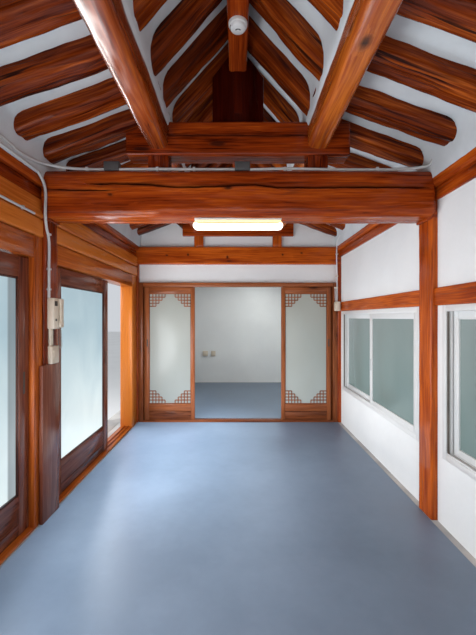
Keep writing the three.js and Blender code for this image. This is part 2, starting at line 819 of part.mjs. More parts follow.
// Partition between the living room and the bedroom
add("partition_truss", partitionTruss(), pine, 0, 0, 0, partitionFrame);
add("partition_door_frame", partitionDoorFrame(), pine, 0, 0, 0, partitionFrame);
const headPanel = block(
  -INNER_X,
  INNER_X,
  PARTITION_FACE,
  PARTITION_BACK,
  PARTITION_HEAD_TOP,
  TIE_BOTTOM,
);
add("partition_head_panel", headPanel, plaster, 0, 0, 0, partitionFrame);
const partitionOutline = gableOutline(1300, TIE_TOP, 1359, EAVE_PURLIN_TOP - 30);
const partitionWall = crossWall(
  partitionOutline,
  FRAMES[2] + PARTITION_FACE,
  FRAMES[2] + PARTITION_BACK,
);
add("partition_plaster", partitionWall, plaster);

// Gables
const gables = [
  ["front", FRAMES[0], 1],
  ["back", FRAMES[3], -1],
];
for (const [word, y, inward] of gables) {
  const outsideOnLowY = gableFrame();
  const timbers = (inward > 0 ? outsideOnLowY : outsideOnLowY.mirror([0, 1, 0])).translate([0, y, 0]);
  add(word + "_gable_frame", timbers, pine);
  const faces = [y + inward * GABLE_PANEL, y + inward * GABLE_BACK].sort((a, b) => a - b);
  const outline = gableOutline(INNER_X, FLOOR, 1359, EAVE_PURLIN_TOP - 30);
  add(word + "_gable_wall", crossWall(outline, ...faces).subtract(timbers), plaster);
  const boards = add(word + "_verge_boards", vergeBoards(), darkPine, 0, -inward * TIMBER_Y);
  boards.rotation.z = inward > 0 ? Math.PI : 0;
}

// Purlins, rafters, ceiling and roof
const [leftRow, rightRow] = [RAFTER_ROWS.left, RAFTER_ROWS.right];
add("ridge_purlin", ridgePurlin(0), pine);
for (const [word, side] of sides) {
  const row = RAFTER_ROWS[word];
  add(word + "_eave_purlin", eavePurlin(side, 0), pine);
  add(word + "_middle_purlin", midPurlin(side, 0), pine);
  add(word + "_lower_rafters", lowRafterRow(row), pine);
  add(word + "_ceiling", ceilingHalf(row), plaster);
  add(word + "_roof", roofHalf(side), tile);
}
const upperRafters = join([highRafterRow(leftRow), highRafterRow(rightRow), ridgeStrip()]);
add("upper_rafters", upperRafters, pine);
add("roof_ridge", ridgeStack(), tile);

// Left side: glazed sliding doors in the first two bays, a plain wall in the third
const LEFT_DOORS = [
  { bay: 0, nearJamb: 20, farJamb: 107.5, width: 1270, inner: -2567.5, outer: -2637.5 },
  { bay: 1, nearJamb: 20, farJamb: 225, width: 1050, inner: -990, outer: -990 },
];
for (const { bay, nearJamb, farJamb, width, inner, outer } of LEFT_DOORS) {
  const number = bay + 1;
  const [y0, y1] = bayRange(bay);
  add("left_door_frame_" + number, leftDoorFrame(bay, nearJamb, farJamb), pine);
  const lintel = block(-WALL_FAR - 25, -INNER_X - 10, y0, y1, LINTEL, BEARER_BOTTOM);
  add("left_lintel_" + number, lintel, pine);
  add("left_inner_door_" + number, leftLeaf(width), pine, INNER_TRACK, inner);
  add("left_outer_door_" + number, leftLeaf(width), pine, OUTER_TRACK, outer);
}
add("left_wall_3", sideWall(-1, 2, RAIL_BOTTOM), plaster);
add("left_rail_3", sideRail(-1, 2), pine);

// Right side: a wide window under a rail in every bay
for (const bay of [0, 1, 2]) {
  const number = bay + 1;
  add("right_wall_" + number, sideWall(1, bay, WINDOW_SILL), plaster);
  add("right_rail_" + number, sideRail(1, bay), pine);
  add("right_window_" + number, slidingWindow(bay), pvc);
}

// Partition leaves, pushed back over the fixed lights
const LEAF_WIDTH = 657;
const LEAF_CENTRE = 902.5;
for (const [word, side] of sides) {
  const leaf = partitionLeaf(LEAF_WIDTH);
  add("partition_" + word + "_door", leaf, frosted, side * LEAF_CENTRE, LEAF_PLANE, 0, partitionFrame);
}

// Fittings
const LAMP_DEPTH = 70;
const lamp = stadium(320, 55, BEAM_BOTTOM - LAMP_DEPTH, BEAM_BOTTOM);
add("ceiling_lamp", lamp, opal, 0, 0, 0, mainFrame);
const detector = disc(55, RIDGE_PURLIN_BOTTOM - 38, RIDGE_PURLIN_BOTTOM);
add("smoke_detector", detector, pvc, 0, -1537.5);
add("beam_conduit", beamConduit(), conduitGrey, 0, 0, 0, mainFrame);
add("post_conduit", postConduit(), conduitGrey);
add("intercom", intercom(), beige);

export default house;
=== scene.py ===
"""Finished looks of the hanok wing: varnished timber, plaster, frosted glass, stone and clay tile."""

import math
import random

import bpy
import numpy as np
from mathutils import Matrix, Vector, noise


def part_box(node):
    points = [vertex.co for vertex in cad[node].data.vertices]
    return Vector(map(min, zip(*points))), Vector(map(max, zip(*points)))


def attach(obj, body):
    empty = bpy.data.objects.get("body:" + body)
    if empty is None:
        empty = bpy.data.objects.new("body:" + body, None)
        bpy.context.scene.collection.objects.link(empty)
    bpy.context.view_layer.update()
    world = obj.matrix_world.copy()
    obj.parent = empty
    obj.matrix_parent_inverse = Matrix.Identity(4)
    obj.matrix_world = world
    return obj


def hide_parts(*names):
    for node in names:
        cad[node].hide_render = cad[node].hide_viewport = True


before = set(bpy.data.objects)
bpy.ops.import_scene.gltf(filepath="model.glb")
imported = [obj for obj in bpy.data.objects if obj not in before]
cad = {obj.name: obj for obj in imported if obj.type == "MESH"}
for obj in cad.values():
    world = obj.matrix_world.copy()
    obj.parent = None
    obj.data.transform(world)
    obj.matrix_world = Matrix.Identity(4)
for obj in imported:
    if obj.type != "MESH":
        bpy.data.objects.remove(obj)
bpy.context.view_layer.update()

# Sizes, in metres

FLOOR = 0.400
MAIN_Y, PARTITION_Y, GABLE_Y = -1.1, 1.1, 3.9
FRAME_Y = (-GABLE_Y, MAIN_Y, PARTITION_Y, GABLE_Y)
POST = 0.165
POST_X = 1.400
POST_IN = POST_X - POST / 2
POST_OUT = POST_X + POST / 2
WING_IN = 3.8175
WING_OUT = 3.9825
TIMBER_Y = 4.45
ROOF_Y = 4.50

KNEE_X = 0.55
KNEE_Z = 3.130
LOW_SLOPE = 0.365
HIGH_X = 0.48
HIGH_Z = 3.140
HIGH_SLOPE = 1.1
RAFTER = 0.145
RAFTER_SHOWS = 0.088
EAVE_X = 2.18
LOW_RISE = RAFTER_SHOWS * math.hypot(1, LOW_SLOPE)
HIGH_RISE = RAFTER_SHOWS * math.hypot(1, HIGH_SLOPE)
LEFT_ROW = (-1, -4.2075, 0.303, 29)
RIGHT_ROW = (1, -4.2175, 0.350, 25)

EAVE_END_X = 2.30
RIDGE_FOOT, RIDGE_TOP = 4.025, 4.400

TRACK_TOP = 0.428
LEAF_FOOT = 0.4284
SILL_TOP = 0.420
JAMB_TOP = 2.324
MAIN_POST_TOP = 2.472
POST_TOP = 2.49
INNER_TRACK = -1.375
OUTER_TRACK = -1.420


def low_under(x):
    return KNEE_Z - LOW_SLOPE * (x - KNEE_X)


def high_under(x):
    return HIGH_Z - HIGH_SLOPE * (x - HIGH_X)


# Mesh building


class Shell:
    """Points and faces of one piece, with the grain place, tone and knots of each point. The tone also
    carries painted shade and painted light, and the knot value also carries painted shade in splits.
    """

    def __init__(self):
        self.points, self.grain, self.tone, self.knot, self.faces = [], [], [], [], []
        self.count = 0

    def add(self, points, faces, grain=None, tone=0.0, knot=0.0):
        points = np.asarray(points, float).reshape(-1, 3)
        total = len(points)
        self.points.append(points)
        self.grain.append(points if grain is None else np.asarray(grain, float).reshape(-1, 3))
        self.tone.append(np.broadcast_to(np.asarray(tone, float).reshape(-1), (total,)))
        self.knot.append(np.broadcast_to(np.asarray(knot, float).reshape(-1), (total,)))
        start = self.count
        self.faces.extend([tuple(start + i for i in face) for face in faces])
        self.count += total


def piece(name, shell, material, nodes=(), body="house", smooth=38):
    """Makes a shell into an object that rides on a body and stands for its solids."""
    mesh = bpy.data.meshes.new(name)
    mesh.from_pydata(np.concatenate(shell.points).tolist(), [], shell.faces)
    for label, kind, field, rows in (
        ("grain", "FLOAT_VECTOR", "vector", shell.grain),
        ("tone", "FLOAT", "value", shell.tone),
        ("knot", "FLOAT", "value", shell.knot),
    ):
        values = mesh.attributes.new(label, kind, "POINT")
        values.data.foreach_set(field, np.concatenate(rows).astype(np.float32).ravel())
    mesh.materials.append(material)
    mesh.polygons.foreach_set("use_smooth", [True] * len(mesh.polygons))
    mesh.set_sharp_from_angle(angle=math.radians(smooth))
    mesh.update()
    made = bpy.data.objects.new(name, mesh)
    bpy.context.scene.collection.objects.link(made)
    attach(made, body)
    if nodes:
        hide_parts(*nodes)
    return made


def rough(place, scale, seed):
    """Smooth noise from -1 to 1 at a place, with a size of feature for each axis."""
    x, y, z = (place[i] / scale[i] for i in range(3))
    return noise.fractal(Vector((x + seed * 7.31, y - seed * 3.17, z + seed)), 0.9, 2.0, 3)


def loops(count, n, flip=False):
    """Faces of a closed form made of a number of rings of n points, with a cap at each end."""
    faces = []
    for j in range(count - 1):
        for i in range(n):
            k = (i + 1) % n
            faces.append((j * n + i, j * n + k, (j + 1) * n + k, (j + 1) * n + i))
    last = (count - 1) * n
    faces.append(tuple(reversed(range(n))))
    faces.append(tuple(last + i for i in range(n)))
    return [tuple(reversed(face)) for face in faces] if flip else faces


def outline(at, width, height, corner):
    """Places and outward directions on a rounded rectangle, for lengths from the middle of its low side."""
    corner = min(corner, width / 2, height / 2)
    flat_a, flat_b = width - 2 * corner, height - 2 * corner
    bend = math.pi / 2 * corner
    whole = 2 * (flat_a + flat_b) + 4 * bend
    at = np.mod(at + 0 * at, whole)
    sides = []
    start = -flat_a / 2
    for turn in range(4):
        length = (flat_a, flat_b)[turn % 2]
        sides.append((start, length, turn))
        start += length + bend
    place = np.zeros(at.shape + (2,))
    out = np.zeros(at.shape + (2,))
    for begin, length, turn in sides:
        along = np.mod(at - begin, whole)
        cos, sin = math.cos(turn * math.pi / 2), math.sin(turn * math.pi / 2)
        half_along, half_out = (width / 2, height / 2) if turn % 2 == 0 else (height / 2, width / 2)
        on_side = along <= length
        run, rise = along - half_along + corner, np.full(at.shape, -half_out)
        place[on_side] = np.stack([cos * run - sin * rise, sin * run + cos * rise], -1)[on_side]
        out[on_side] = (sin, -cos)
        on_bend = (along > length) & (along <= length + bend + 1e-9)
        if corner > 0:
            angle = (along - length) / corner - math.pi / 2
            ca, sa = np.cos(angle), np.sin(angle)
            run = half_along - corner + corner * ca
            rise = -half_out + corner + corner * sa
            turned = np.stack([cos * run - sin * rise, sin * run + cos * rise], -1)
            place[on_bend] = turned[on_bend]
            out[on_bend] = np.stack([cos * ca - sin * sa, sin * ca + cos * sa], -1)[on_bend]
    return place, out


def perimeter(width, height, corner):
    corner = min(corner, width / 2, height / 2)
    return 2 * (width + height) - 8 * corner + 2 * math.pi * corner


def section_rows(width, height, corner, pitch, bends=3):
    """Lengths round a rounded rectangle for the rows of a timber, closer together at its corners."""
    corner = min(corner, width / 2, height / 2)
    bend = math.pi / 2 * corner
    rows = []
    start = -(width - 2 * corner) / 2
    for turn in range(4):
        length = (width, height)[turn % 2] - 2 * corner
        count = max(1, round(length / pitch)) if length > 1e-6 else 0
        rows.extend(start + length * i / count for i in range(count))
        start += length
        rows.extend(start + bend * i / bends for i in range(bends))
        start += bend
    return np.array(rows)


def frame_of(start, end, up):
    start, end = Vector(start), Vector(end)
    along = (end - start).normalized()
    across = along.cross(Vector(up)).normalized()
    return start, (end - start).length, along, across, across.cross(along)


def timber(
    shell, start, end, width, height, corner=0.012, up=(0, 0, 1), wave=0.0015, bow=0.0, sway=0.0, taper=0.0,
    pitch=0.05, row=0.03, bends=3, edge=0.004, splits=(), knots=(), seed=0, tone=0.0, fade=0.0,
):
    """A hewn timber from start to end, with its splits as grooves and its knots as marks. The grooves are
    also painted near-black, as shade inside the splits.

    Width lies across and height along up. A split is (length round the section, a list of (along, shift)
    points, width, depth), and a knot is (along, length round the section, reach along, reach across).
    """
    origin, length, along, across, upward = frame_of(start, end, up)
    count = max(2, round((length - 2 * edge) / pitch))
    runs = np.concatenate([[0.0], edge + (length - 2 * edge) * np.linspace(0, 1, count + 1), [length]])
    rows = section_rows(width, height, corner, row, bends)
    for place, _, wide, _ in splits:
        rows = rows[np.abs(rows - place) > 0.7 * wide]
        rows = np.concatenate([rows, [place - wide / 2, place, place + wide / 2]])
    rows = np.sort(rows)
    places = np.tile(rows, (len(runs), 1))
    sink = np.zeros(places.shape)
    knot = np.zeros(places.shape)
    for place, path, wide, deep in splits:
        middle = int(np.argmin(np.abs(rows - place)))
        first, last = path[0][0], path[-1][0]
        for j, run in enumerate(runs):
            opened = np.interp(run, [first, first + 0.12, last - 0.12, last], [0, 1, 1, 0])
            opened *= 0.75 + 0.5 * abs(noise.noise(Vector((run * 3.1, seed, place))))
            shift = np.interp(run, [p[0] for p in path], [p[1] for p in path])
            shift += 0.0018 * rough((run, 0, 0), (0.07, 1, 1), seed)
            places[j] += shift * np.clip(1 - np.abs(rows - place) / 0.06, 0, 1)
            half = wide / 2 * max(opened, 0.1)
            places[j, middle - 1] = places[j, middle] - half
            places[j, middle + 1] = places[j, middle] + half
            sink[j, middle] = deep * opened
            # Painted shade: the groove is darkened towards black
            knot[j, middle - 1:middle + 2] = np.array([0.6, 1.2, 0.6]) * min(opened, 1.0)
    flat, out = outline(places, width, height, corner)
    share = runs / length
    girth = 1 - taper * share
    flat = flat * girth[:, None, None]
    inset = np.where((runs < edge / 2) | (runs > length - edge / 2), edge * 0.8, 0.0)
    flat = flat - out * (inset[:, None, None] + sink[..., None])
    lift = bow * (1 - (2 * share - 1) ** 2)
    points = np.zeros(flat.shape[:2] + (3,))
    grain = np.zeros_like(points)
    wander = random.Random(seed * 13 + 5)
    pith = (wander.uniform(-0.3, 0.3) * width, wander.uniform(-0.3, 0.3) * height)
    for j, run in enumerate(runs):
        side = sway * rough((run, 1, 0), (1.1, 1, 1), seed + 40) if sway else 0.0
        rise = lift[j] + (sway * rough((run, 5, 0), (0.9, 1, 1), seed + 80) if sway else 0.0)
        for i in range(flat.shape[1]):
            a, b = flat[j, i]
            if wave:
                move = wave * rough((run, a, b), (0.34, 0.07, 0.07), seed)
                move += wave * 0.35 * rough((run, a, b), (0.09, 0.03, 0.03), seed + 3)
                a += out[j, i, 0] * move
                b += out[j, i, 1] * move
            points[j, i] = origin + along * run + across * (a + side) + upward * (b + rise)
            grain[j, i] = (run + seed * 5.7, flat[j, i, 0] - pith[0], flat[j, i, 1] - pith[1])
    for at, place, reach, wide in knots:
        near = ((runs[:, None] - at) / reach) ** 2 + ((places - place) / wide) ** 2
        knot = np.maximum(knot, np.exp(-(near**1.6)))
        swirl = np.exp(-near * 0.45) * wide * 0.8
        grain[..., 2] += swirl * np.sign(places - place + 1e-6)
    # Tone and shade: the piece's tone, where darker values paint shade and lighter ones paint light, with a
    # drift along the length by fade and a random offset
    shade = tone + fade * (share[:, None] - 0.5) + np.zeros(knot.shape) + wander.uniform(-0.12, 0.12)
    shell.add(points, loops(len(runs), flat.shape[1], True), grain, shade.ravel(), knot.ravel())


def bar(shell, low, high, bevel=0.003, along=None, tone=0.0, seed=0):
    """A planed bar or board between two corners, with small rounded edges and its grain along one axis."""
    low, high = Vector(low), Vector(high)
    size = high - low
    axis = max(range(3), key=lambda i: size[i]) if along is None else along
    sides = [i for i in range(3) if i != axis]
    bevel = min(bevel, size[sides[0]] / 3, size[sides[1]] / 3, size[axis] / 3)
    half = (size[sides[0]] / 2, size[sides[1]] / 2)
    middle = (low + high) / 2
    soft = bevel * 0.3
    cuts = [(bevel, 0), (soft, soft), (0, bevel)]
    ring = []
    for sign_a, sign_b in ((1, -1), (1, 1), (-1, 1), (-1, -1)):
        for a, b in reversed(cuts) if sign_a == sign_b else cuts:
            ring.append((sign_a * (half[0] - a), sign_b * (half[1] - b)))
    levels = [
        (low[axis], bevel), (low[axis] + soft, soft), (low[axis] + bevel, 0), (high[axis] - bevel, 0),
        (high[axis] - soft, soft), (high[axis], bevel),
    ]
    points, grain = [], []
    for level, inset in levels:
        for a, b in ring:
            reach_a, reach_b = (half[0] - inset) / half[0], (half[1] - inset) / half[1]
            spot = [0.0, 0.0, 0.0]
            spot[axis] = level
            spot[sides[0]] = middle[sides[0]] + a * reach_a
            spot[sides[1]] = middle[sides[1]] + b * reach_b
            points.append(spot)
            grain.append((level + seed * 3.3, a + seed * 0.021, b - seed * 0.013))
    shell.add(points, loops(len(levels), len(ring), axis == 1), grain, tone)


def tube(shell, path, radius, sides=12, bends=6):
    """A round pipe or cable through points, smoothed into curves, with closed ends."""
    path = smooth_path(path, bends)
    points = []
    side = None
    for j, spot in enumerate(path):
        ahead = (path[min(j + 1, len(path) - 1)] - path[max(j - 1, 0)]).normalized()
        if side is None:
            side = ahead.orthogonal().normalized()
        side = (side - ahead * side.dot(ahead)).normalized()
        other = ahead.cross(side)
        for i in range(sides):
            angle = 2 * math.pi * i / sides
            points.append(
                (spot + side * (radius * math.cos(angle)) + other * (radius * math.sin(angle)))[:]
            )
    shell.add(points, loops(len(path), sides))


def smooth_path(path, steps):
    """A Catmull-Rom curve through the points of a path."""
    path = [Vector(p) for p in path]
    if steps < 2 or len(path) < 3:
        return path
    path = [path[0] * 2 - path[1]] + path + [path[-1] * 2 - path[-2]]
    curve = []
    for i in range(1, len(path) - 2):
        a, b, c, d = path[i - 1:i + 3]
        for k in range(steps):
            t = k / steps
            start = 2 * b + (c - a) * t
            square = (2 * a - 5 * b + 4 * c - d) * t**2
            cube = (3 * b - a - 3 * c + d) * t**3
            curve.append(0.5 * (start + square + cube))
    curve.append(path[-2])
    return curve


def turned(shell, centre, profile, axis=2, sides=40):
    """A turned form: its profile of (radius, height) points is spun about an axis through the centre."""
    points = []
    first, second = [i for i in range(3) if i != axis]
    for radius, height in profile:
        for i in range(sides):
            angle = 2 * math.pi * i / sides
            spot = list(centre)
            spot[axis] += height
            spot[first] += radius * math.cos(angle)
            spot[second] += radius * math.sin(angle)
            points.append(spot)
    shell.add(points, loops(len(profile), sides, axis == 1))


def skin(shell, grid, flip=False):
    """An open sheet through a grid of points."""
    grid = np.asarray(grid, float)
    rows, columns = grid.shape[:2]
    faces = []
    for j in range(rows - 1):
        for i in range(j * columns, (j + 1) * columns - 1):
            face = (i, i + 1, i + columns + 1, i + columns)
            faces.append(tuple(reversed(face)) if flip else face)
    shell.add(grid, faces)


# Materials


def place_node(tree, kind, inputs=None, **settings):
    node = tree.nodes.new(kind)
    for name, value in settings.items():
        setattr(node, name, value)
    for name, value in (inputs or {}).items():
        if isinstance(value, bpy.types.NodeSocket):
            tree.links.new(value, node.inputs[name])
        else:
            node.inputs[name].default_value = value
    return node


def stretch(tree, vector, scale):
    return place_node(tree, "ShaderNodeMapping", {"Vector": vector, "Scale": scale}).outputs["Vector"]


def clouds(tree, vector, scale, detail=3.0, distortion=0.0):
    return place_node(
        tree, "ShaderNodeTexNoise",
        {"Vector": vector, "Scale": scale, "Detail": detail, "Distortion": distortion}
    ).outputs["Fac"]


def maths(tree, operation, a, b=0.0, clamp=False):
    return place_node(tree, "ShaderNodeMath", {0: a, 1: b}, operation=operation, use_clamp=clamp).outputs[0]


def plus(tree, a, b, clamp=False):
    return maths(tree, "ADD", a, b, clamp)


def times(tree, a, b, clamp=False):
    return maths(tree, "MULTIPLY", a, b, clamp)


def swing(tree, pattern, reach):
    """A pattern's departure from its middle, times a reach."""
    return times(tree, maths(tree, "SUBTRACT", pattern, 0.5), reach)


def object_place(tree):
    return place_node(tree, "ShaderNodeTexCoord").outputs["Object"]


def object_height(tree):
    return place_node(tree, "ShaderNodeSeparateXYZ", {"Vector": object_place(tree)}).outputs["Z"]


def band(tree, value, low, high, to_low=0.0, to_high=1.0, smooth=False):
    return place_node(
        tree, "ShaderNodeMapRange",
        {"Value": value, "From Min": low, "From Max": high, "To Min": to_low, "To Max": to_high},
        interpolation_type="SMOOTHSTEP" if smooth else "LINEAR",
    ).outputs["Result"]


def blend(tree, share, first, second):
    node = place_node(tree, "ShaderNodeMix", {0: share, 6: first, 7: second}, data_type="RGBA")
    return node.outputs[2]


def group(name, inputs, outputs):
    tree = bpy.data.node_groups.new(name, "ShaderNodeTree")
    for label, kind, value in inputs:
        socket = tree.interface.new_socket(label, in_out="INPUT", socket_type=kind)
        if value is not None:
            socket.default_value = value
    for label, kind in outputs:
        tree.interface.new_socket(label, in_out="OUTPUT", socket_type=kind)
    return tree, tree.nodes.new("NodeGroupInput").outputs, tree.nodes.new("NodeGroupOutput").inputs


VECTOR, NUMBER, COLOUR = "NodeSocketVector", "NodeSocketFloat", "NodeSocketColor"


def pine_figure():
    """Growth rings, streaks, blotches, knots and checks of pine, laid along its grain. The near-black of the
    checks and of the split grooves is painted shade inside the cracks, and the tone input adds painted shade
    and painted light.
    """
    tree, given, made = group(
        "pine_figure",
        [
            ("Grain", VECTOR, None), ("Tone and shade", NUMBER, 0.0), ("Knot and crack shade", NUMBER, 0.0), ("Checks", NUMBER, 0.6),
            ("Deep", COLOUR, None), ("Middle", COLOUR, None), ("Bright", COLOUR, None),
        ],
        [("Color", COLOUR), ("Roughness", NUMBER), ("Height", NUMBER)],
    )
    grain = given["Grain"]

    def streaked(place, scale, detail, distortion=0.0):
        return clouds(tree, stretch(tree, place, scale), 1.0, detail, distortion)

    drift = place_node(
        tree, "ShaderNodeTexNoise",
        {"Vector": stretch(tree, grain, (1.1, 7, 7)), "Scale": 1.0, "Detail": 2.0}
    ).outputs["Color"]
    moved = place_node(
        tree, "ShaderNodeVectorMath", {0: drift, 1: (0.0, 0.055, 0.055)}, operation="MULTIPLY",
    )
    bent = place_node(
        tree, "ShaderNodeVectorMath", {0: grain, 1: moved.outputs[0]}, operation="ADD",
    ).outputs[0]
    rings = place_node(
        tree, "ShaderNodeTexWave",
        {
            "Vector": stretch(tree, bent, (0.10, 1, 1)), "Scale": 17.0,
            "Distortion": 3.0, "Detail": 3.0, "Detail Scale": 1.8,
        },
        wave_type="RINGS", rings_direction="X", wave_profile="SAW",
    ).outputs["Fac"]
    streaks = streaked(bent, (2.6, 74, 74), 4.0)
    fine = streaked(bent, (5.0, 230, 230), 3.0)
    broad = streaked(bent, (1.3, 11, 11), 3.0)
    line = streaked(bent, (0.50, 19, 19), 2.5, 0.3)
    off_line = maths(tree, "ABSOLUTE", maths(tree, "SUBTRACT", line, 0.5))
    check = band(tree, off_line, 0.006, 0.022, 1.0, 0.0, True)
    checked = band(tree, streaked(grain, (1.5, 9, 9), 2.0), 0.44, 0.58)
    check = times(tree, times(tree, check, checked), given["Checks"])
    cells = place_node(
        tree, "ShaderNodeTexVoronoi", {"Vector": stretch(tree, bent, (2.1, 8.5, 8.5)), "Scale": 1.0},
    )
    red = place_node(tree, "ShaderNodeSeparateColor", {"Color": cells.outputs["Color"]}).outputs["Red"]
    chosen = band(tree, red, 0.66, 0.68)
    away = cells.outputs["Distance"]
    spot = times(tree, band(tree, away, 0.07, 0.17, 1.0, 0.0, True), chosen)
    halo = times(tree, band(tree, away, 0.12, 0.40, 1.0, 0.0, True), chosen)
    knots = maths(tree, "MAXIMUM", times(tree, spot, 0.8), given["Knot and crack shade"], True)
    # The tone lightens or darkens the wood: its own tone, with painted light and painted shade set piece by
    # piece
    lit = plus(tree, 0.54, times(tree, given["Tone and shade"], 0.34))
    for pattern, reach in ((broad, 0.85), (streaks, 0.80), (fine, 0.45)):
        lit = plus(tree, lit, swing(tree, pattern, reach))
    lit = maths(tree, "SUBTRACT", lit, times(tree, rings, 0.12))
    lit = maths(tree, "SUBTRACT", lit, times(tree, halo, 0.16), True)
    lower = blend(tree, band(tree, lit, 0.0, 0.45, 0.0, 1.0, True), given["Deep"], given["Middle"])
    body = blend(tree, band(tree, lit, 0.35, 0.95, 0.0, 1.0, True), lower, given["Bright"])
    # Near-black marks: real knots, and painted shade inside checks and split grooves
    dark = maths(tree, "MAXIMUM", check, times(tree, knots, 0.96))
    tree.links.new(blend(tree, dark, body, (0.006, 0.0012, 0.0006, 1)), made["Color"])
    tree.links.new(plus(tree, 0.22, times(tree, dark, 0.5)), made["Roughness"])
    relief = plus(tree, times(tree, rings, 0.20), times(tree, streaks, 0.6))
    tree.links.new(maths(tree, "SUBTRACT", relief, times(tree, dark, 1.2)), made["Height"])
    return tree


def mottle():
    """Slow and fine variation between two colours, with a height for its relief."""
    tree, given, made = group(
        "mottle",
        [
            ("Vector", VECTOR, None), ("Size", NUMBER, 1.0), ("Fine", NUMBER, 60.0),
            ("First", COLOUR, None), ("Second", COLOUR, None),
        ],
        [("Color", COLOUR), ("Height", NUMBER), ("Mask", NUMBER)],
    )
    slow = clouds(tree, given["Vector"], given["Size"], 5.0)
    fine = clouds(tree, given["Vector"], given["Fine"], 4.0)
    share = plus(tree, band(tree, slow, 0.36, 0.66), swing(tree, fine, 0.5), True)
    tree.links.new(blend(tree, share, given["First"], given["Second"]), made["Color"])
    tree.links.new(plus(tree, slow, times(tree, fine, 0.35)), made["Height"])
    tree.links.new(slow, made["Mask"])
    return tree


PINE_FIGURE = pine_figure()
MOTTLE = mottle()


def finish(name, **sockets):
    """A new material with its tree and its Principled shader."""
    material = bpy.data.materials.new(name)
    material.use_nodes = True
    tree = material.node_tree
    shader = tree.nodes["Principled BSDF"]
    for label, value in sockets.items():
        shader.inputs[label.replace("_", " ")].default_value = value
    return material, tree, shader


def attribute(tree, name, output):
    return place_node(tree, "ShaderNodeAttribute", attribute_name=name).outputs[output]


def use_group(tree, made_group, inputs):
    return place_node(tree, "ShaderNodeGroup", inputs, node_tree=made_group).outputs


def raise_by(tree, shader, height, strength, distance):
    bump = place_node(
        tree, "ShaderNodeBump", {"Height": height, "Strength": strength, "Distance": distance},
    )
    tree.links.new(bump.outputs["Normal"], shader.inputs["Normal"])


def varnished(name, deep, middle, bright, checks=0.6, relief=0.5, coat=0.42, gloss=0.12):
    """Timber under a glossy varnish, from its three colours and how much it is checked."""
    material, tree, shader = finish(name, Coat_Weight=coat, Coat_Roughness=gloss, Specular_IOR_Level=0.08)
    figure = use_group(tree, PINE_FIGURE, {
        "Grain": attribute(tree, "grain", "Vector"), "Tone and shade": attribute(tree, "tone", "Fac"),
        "Knot and crack shade": attribute(tree, "knot", "Fac"), "Checks": checks,
        "Deep": (*deep, 1), "Middle": (*middle, 1), "Bright": (*bright, 1),
    })
    tree.links.new(figure["Color"], shader.inputs["Base Color"])
    tree.links.new(figure["Roughness"], shader.inputs["Roughness"])
    raise_by(tree, shader, figure["Height"], relief, 0.0016)
    return material


def plain(name, first, second, size, fine, roughness, relief, distance=0.002, spread=0.12, **sockets):
    """A finish that drifts between two colours. Spread is how much its roughness varies."""
    material, tree, shader = finish(name, **sockets)
    tint = use_group(tree, MOTTLE, {
        "Vector": object_place(tree), "Size": size, "Fine": fine,
        "First": (*first, 1), "Second": (*second, 1),
    })
    tree.links.new(tint["Color"], shader.inputs["Base Color"])
    varied = band(tree, tint["Mask"], 0.3, 0.7, roughness - spread / 2, roughness + spread / 2)
    tree.links.new(varied, shader.inputs["Roughness"])
    raise_by(tree, shader, tint["Height"], relief, distance)
    return material


beam_pine = varnished(
    "beam_pine", (0.045, 0.0042, 0.0009), (0.25, 0.033, 0.0042), (0.58, 0.118, 0.011), 0.35, 0.4, 0.26,
)
purlin_pine = varnished(
    "purlin_pine", (0.050, 0.0050, 0.0010), (0.29, 0.048, 0.0055),
    (0.60, 0.165, 0.018), 0.4, 0.4, 1.0, 0.27,
)
rafter_pine = varnished(
    "rafter_pine", (0.026, 0.0024, 0.0006), (0.155, 0.023, 0.0032),
    (0.58, 0.135, 0.016), 0.9, 0.7, 0.06, 0.2,
)
shaded_pine = varnished(
    "shaded_pine", (0.006, 0.0004, 0.0002), (0.024, 0.0014, 0.0005),
    (0.055, 0.005, 0.0012), 0.2, 0.4, 0.08, 0.2,
)
planed_pine = varnished(
    "planed_pine", (0.14, 0.021, 0.003), (0.42, 0.088, 0.012), (0.66, 0.195, 0.030), 0.15, 0.3, 0.25, 0.16,
)
leaf_pine = varnished(
    "leaf_pine", (0.080, 0.020, 0.008), (0.225, 0.062, 0.020), (0.39, 0.125, 0.046), 0.15, 0.3, 0.25, 0.16,
)
# Partly painted sheen: the door wood's pinkish grey is a painted sheen over its reddish-brown colour
door_pine_and_sheen = varnished(
    "door_pine_and_sheen", (0.050, 0.012, 0.007), (0.165, 0.044, 0.023), (0.32, 0.115, 0.065), 0.1, 0.25, 0.4, 0.16,
)
lime_plaster = plain("lime_plaster", (0.78, 0.79, 0.79), (0.72, 0.73, 0.735), 1.6, 38.0, 0.82, 0.25)
# Painted shade: the plaster between the rafters is drawn greyer and bluer than the walls' lime plaster, for
# the shade overhead
shaded_infill_plaster = plain("shaded_infill_plaster", (0.62, 0.665, 0.69), (0.52, 0.56, 0.585), 3.0, 26.0, 0.85, 0.45)
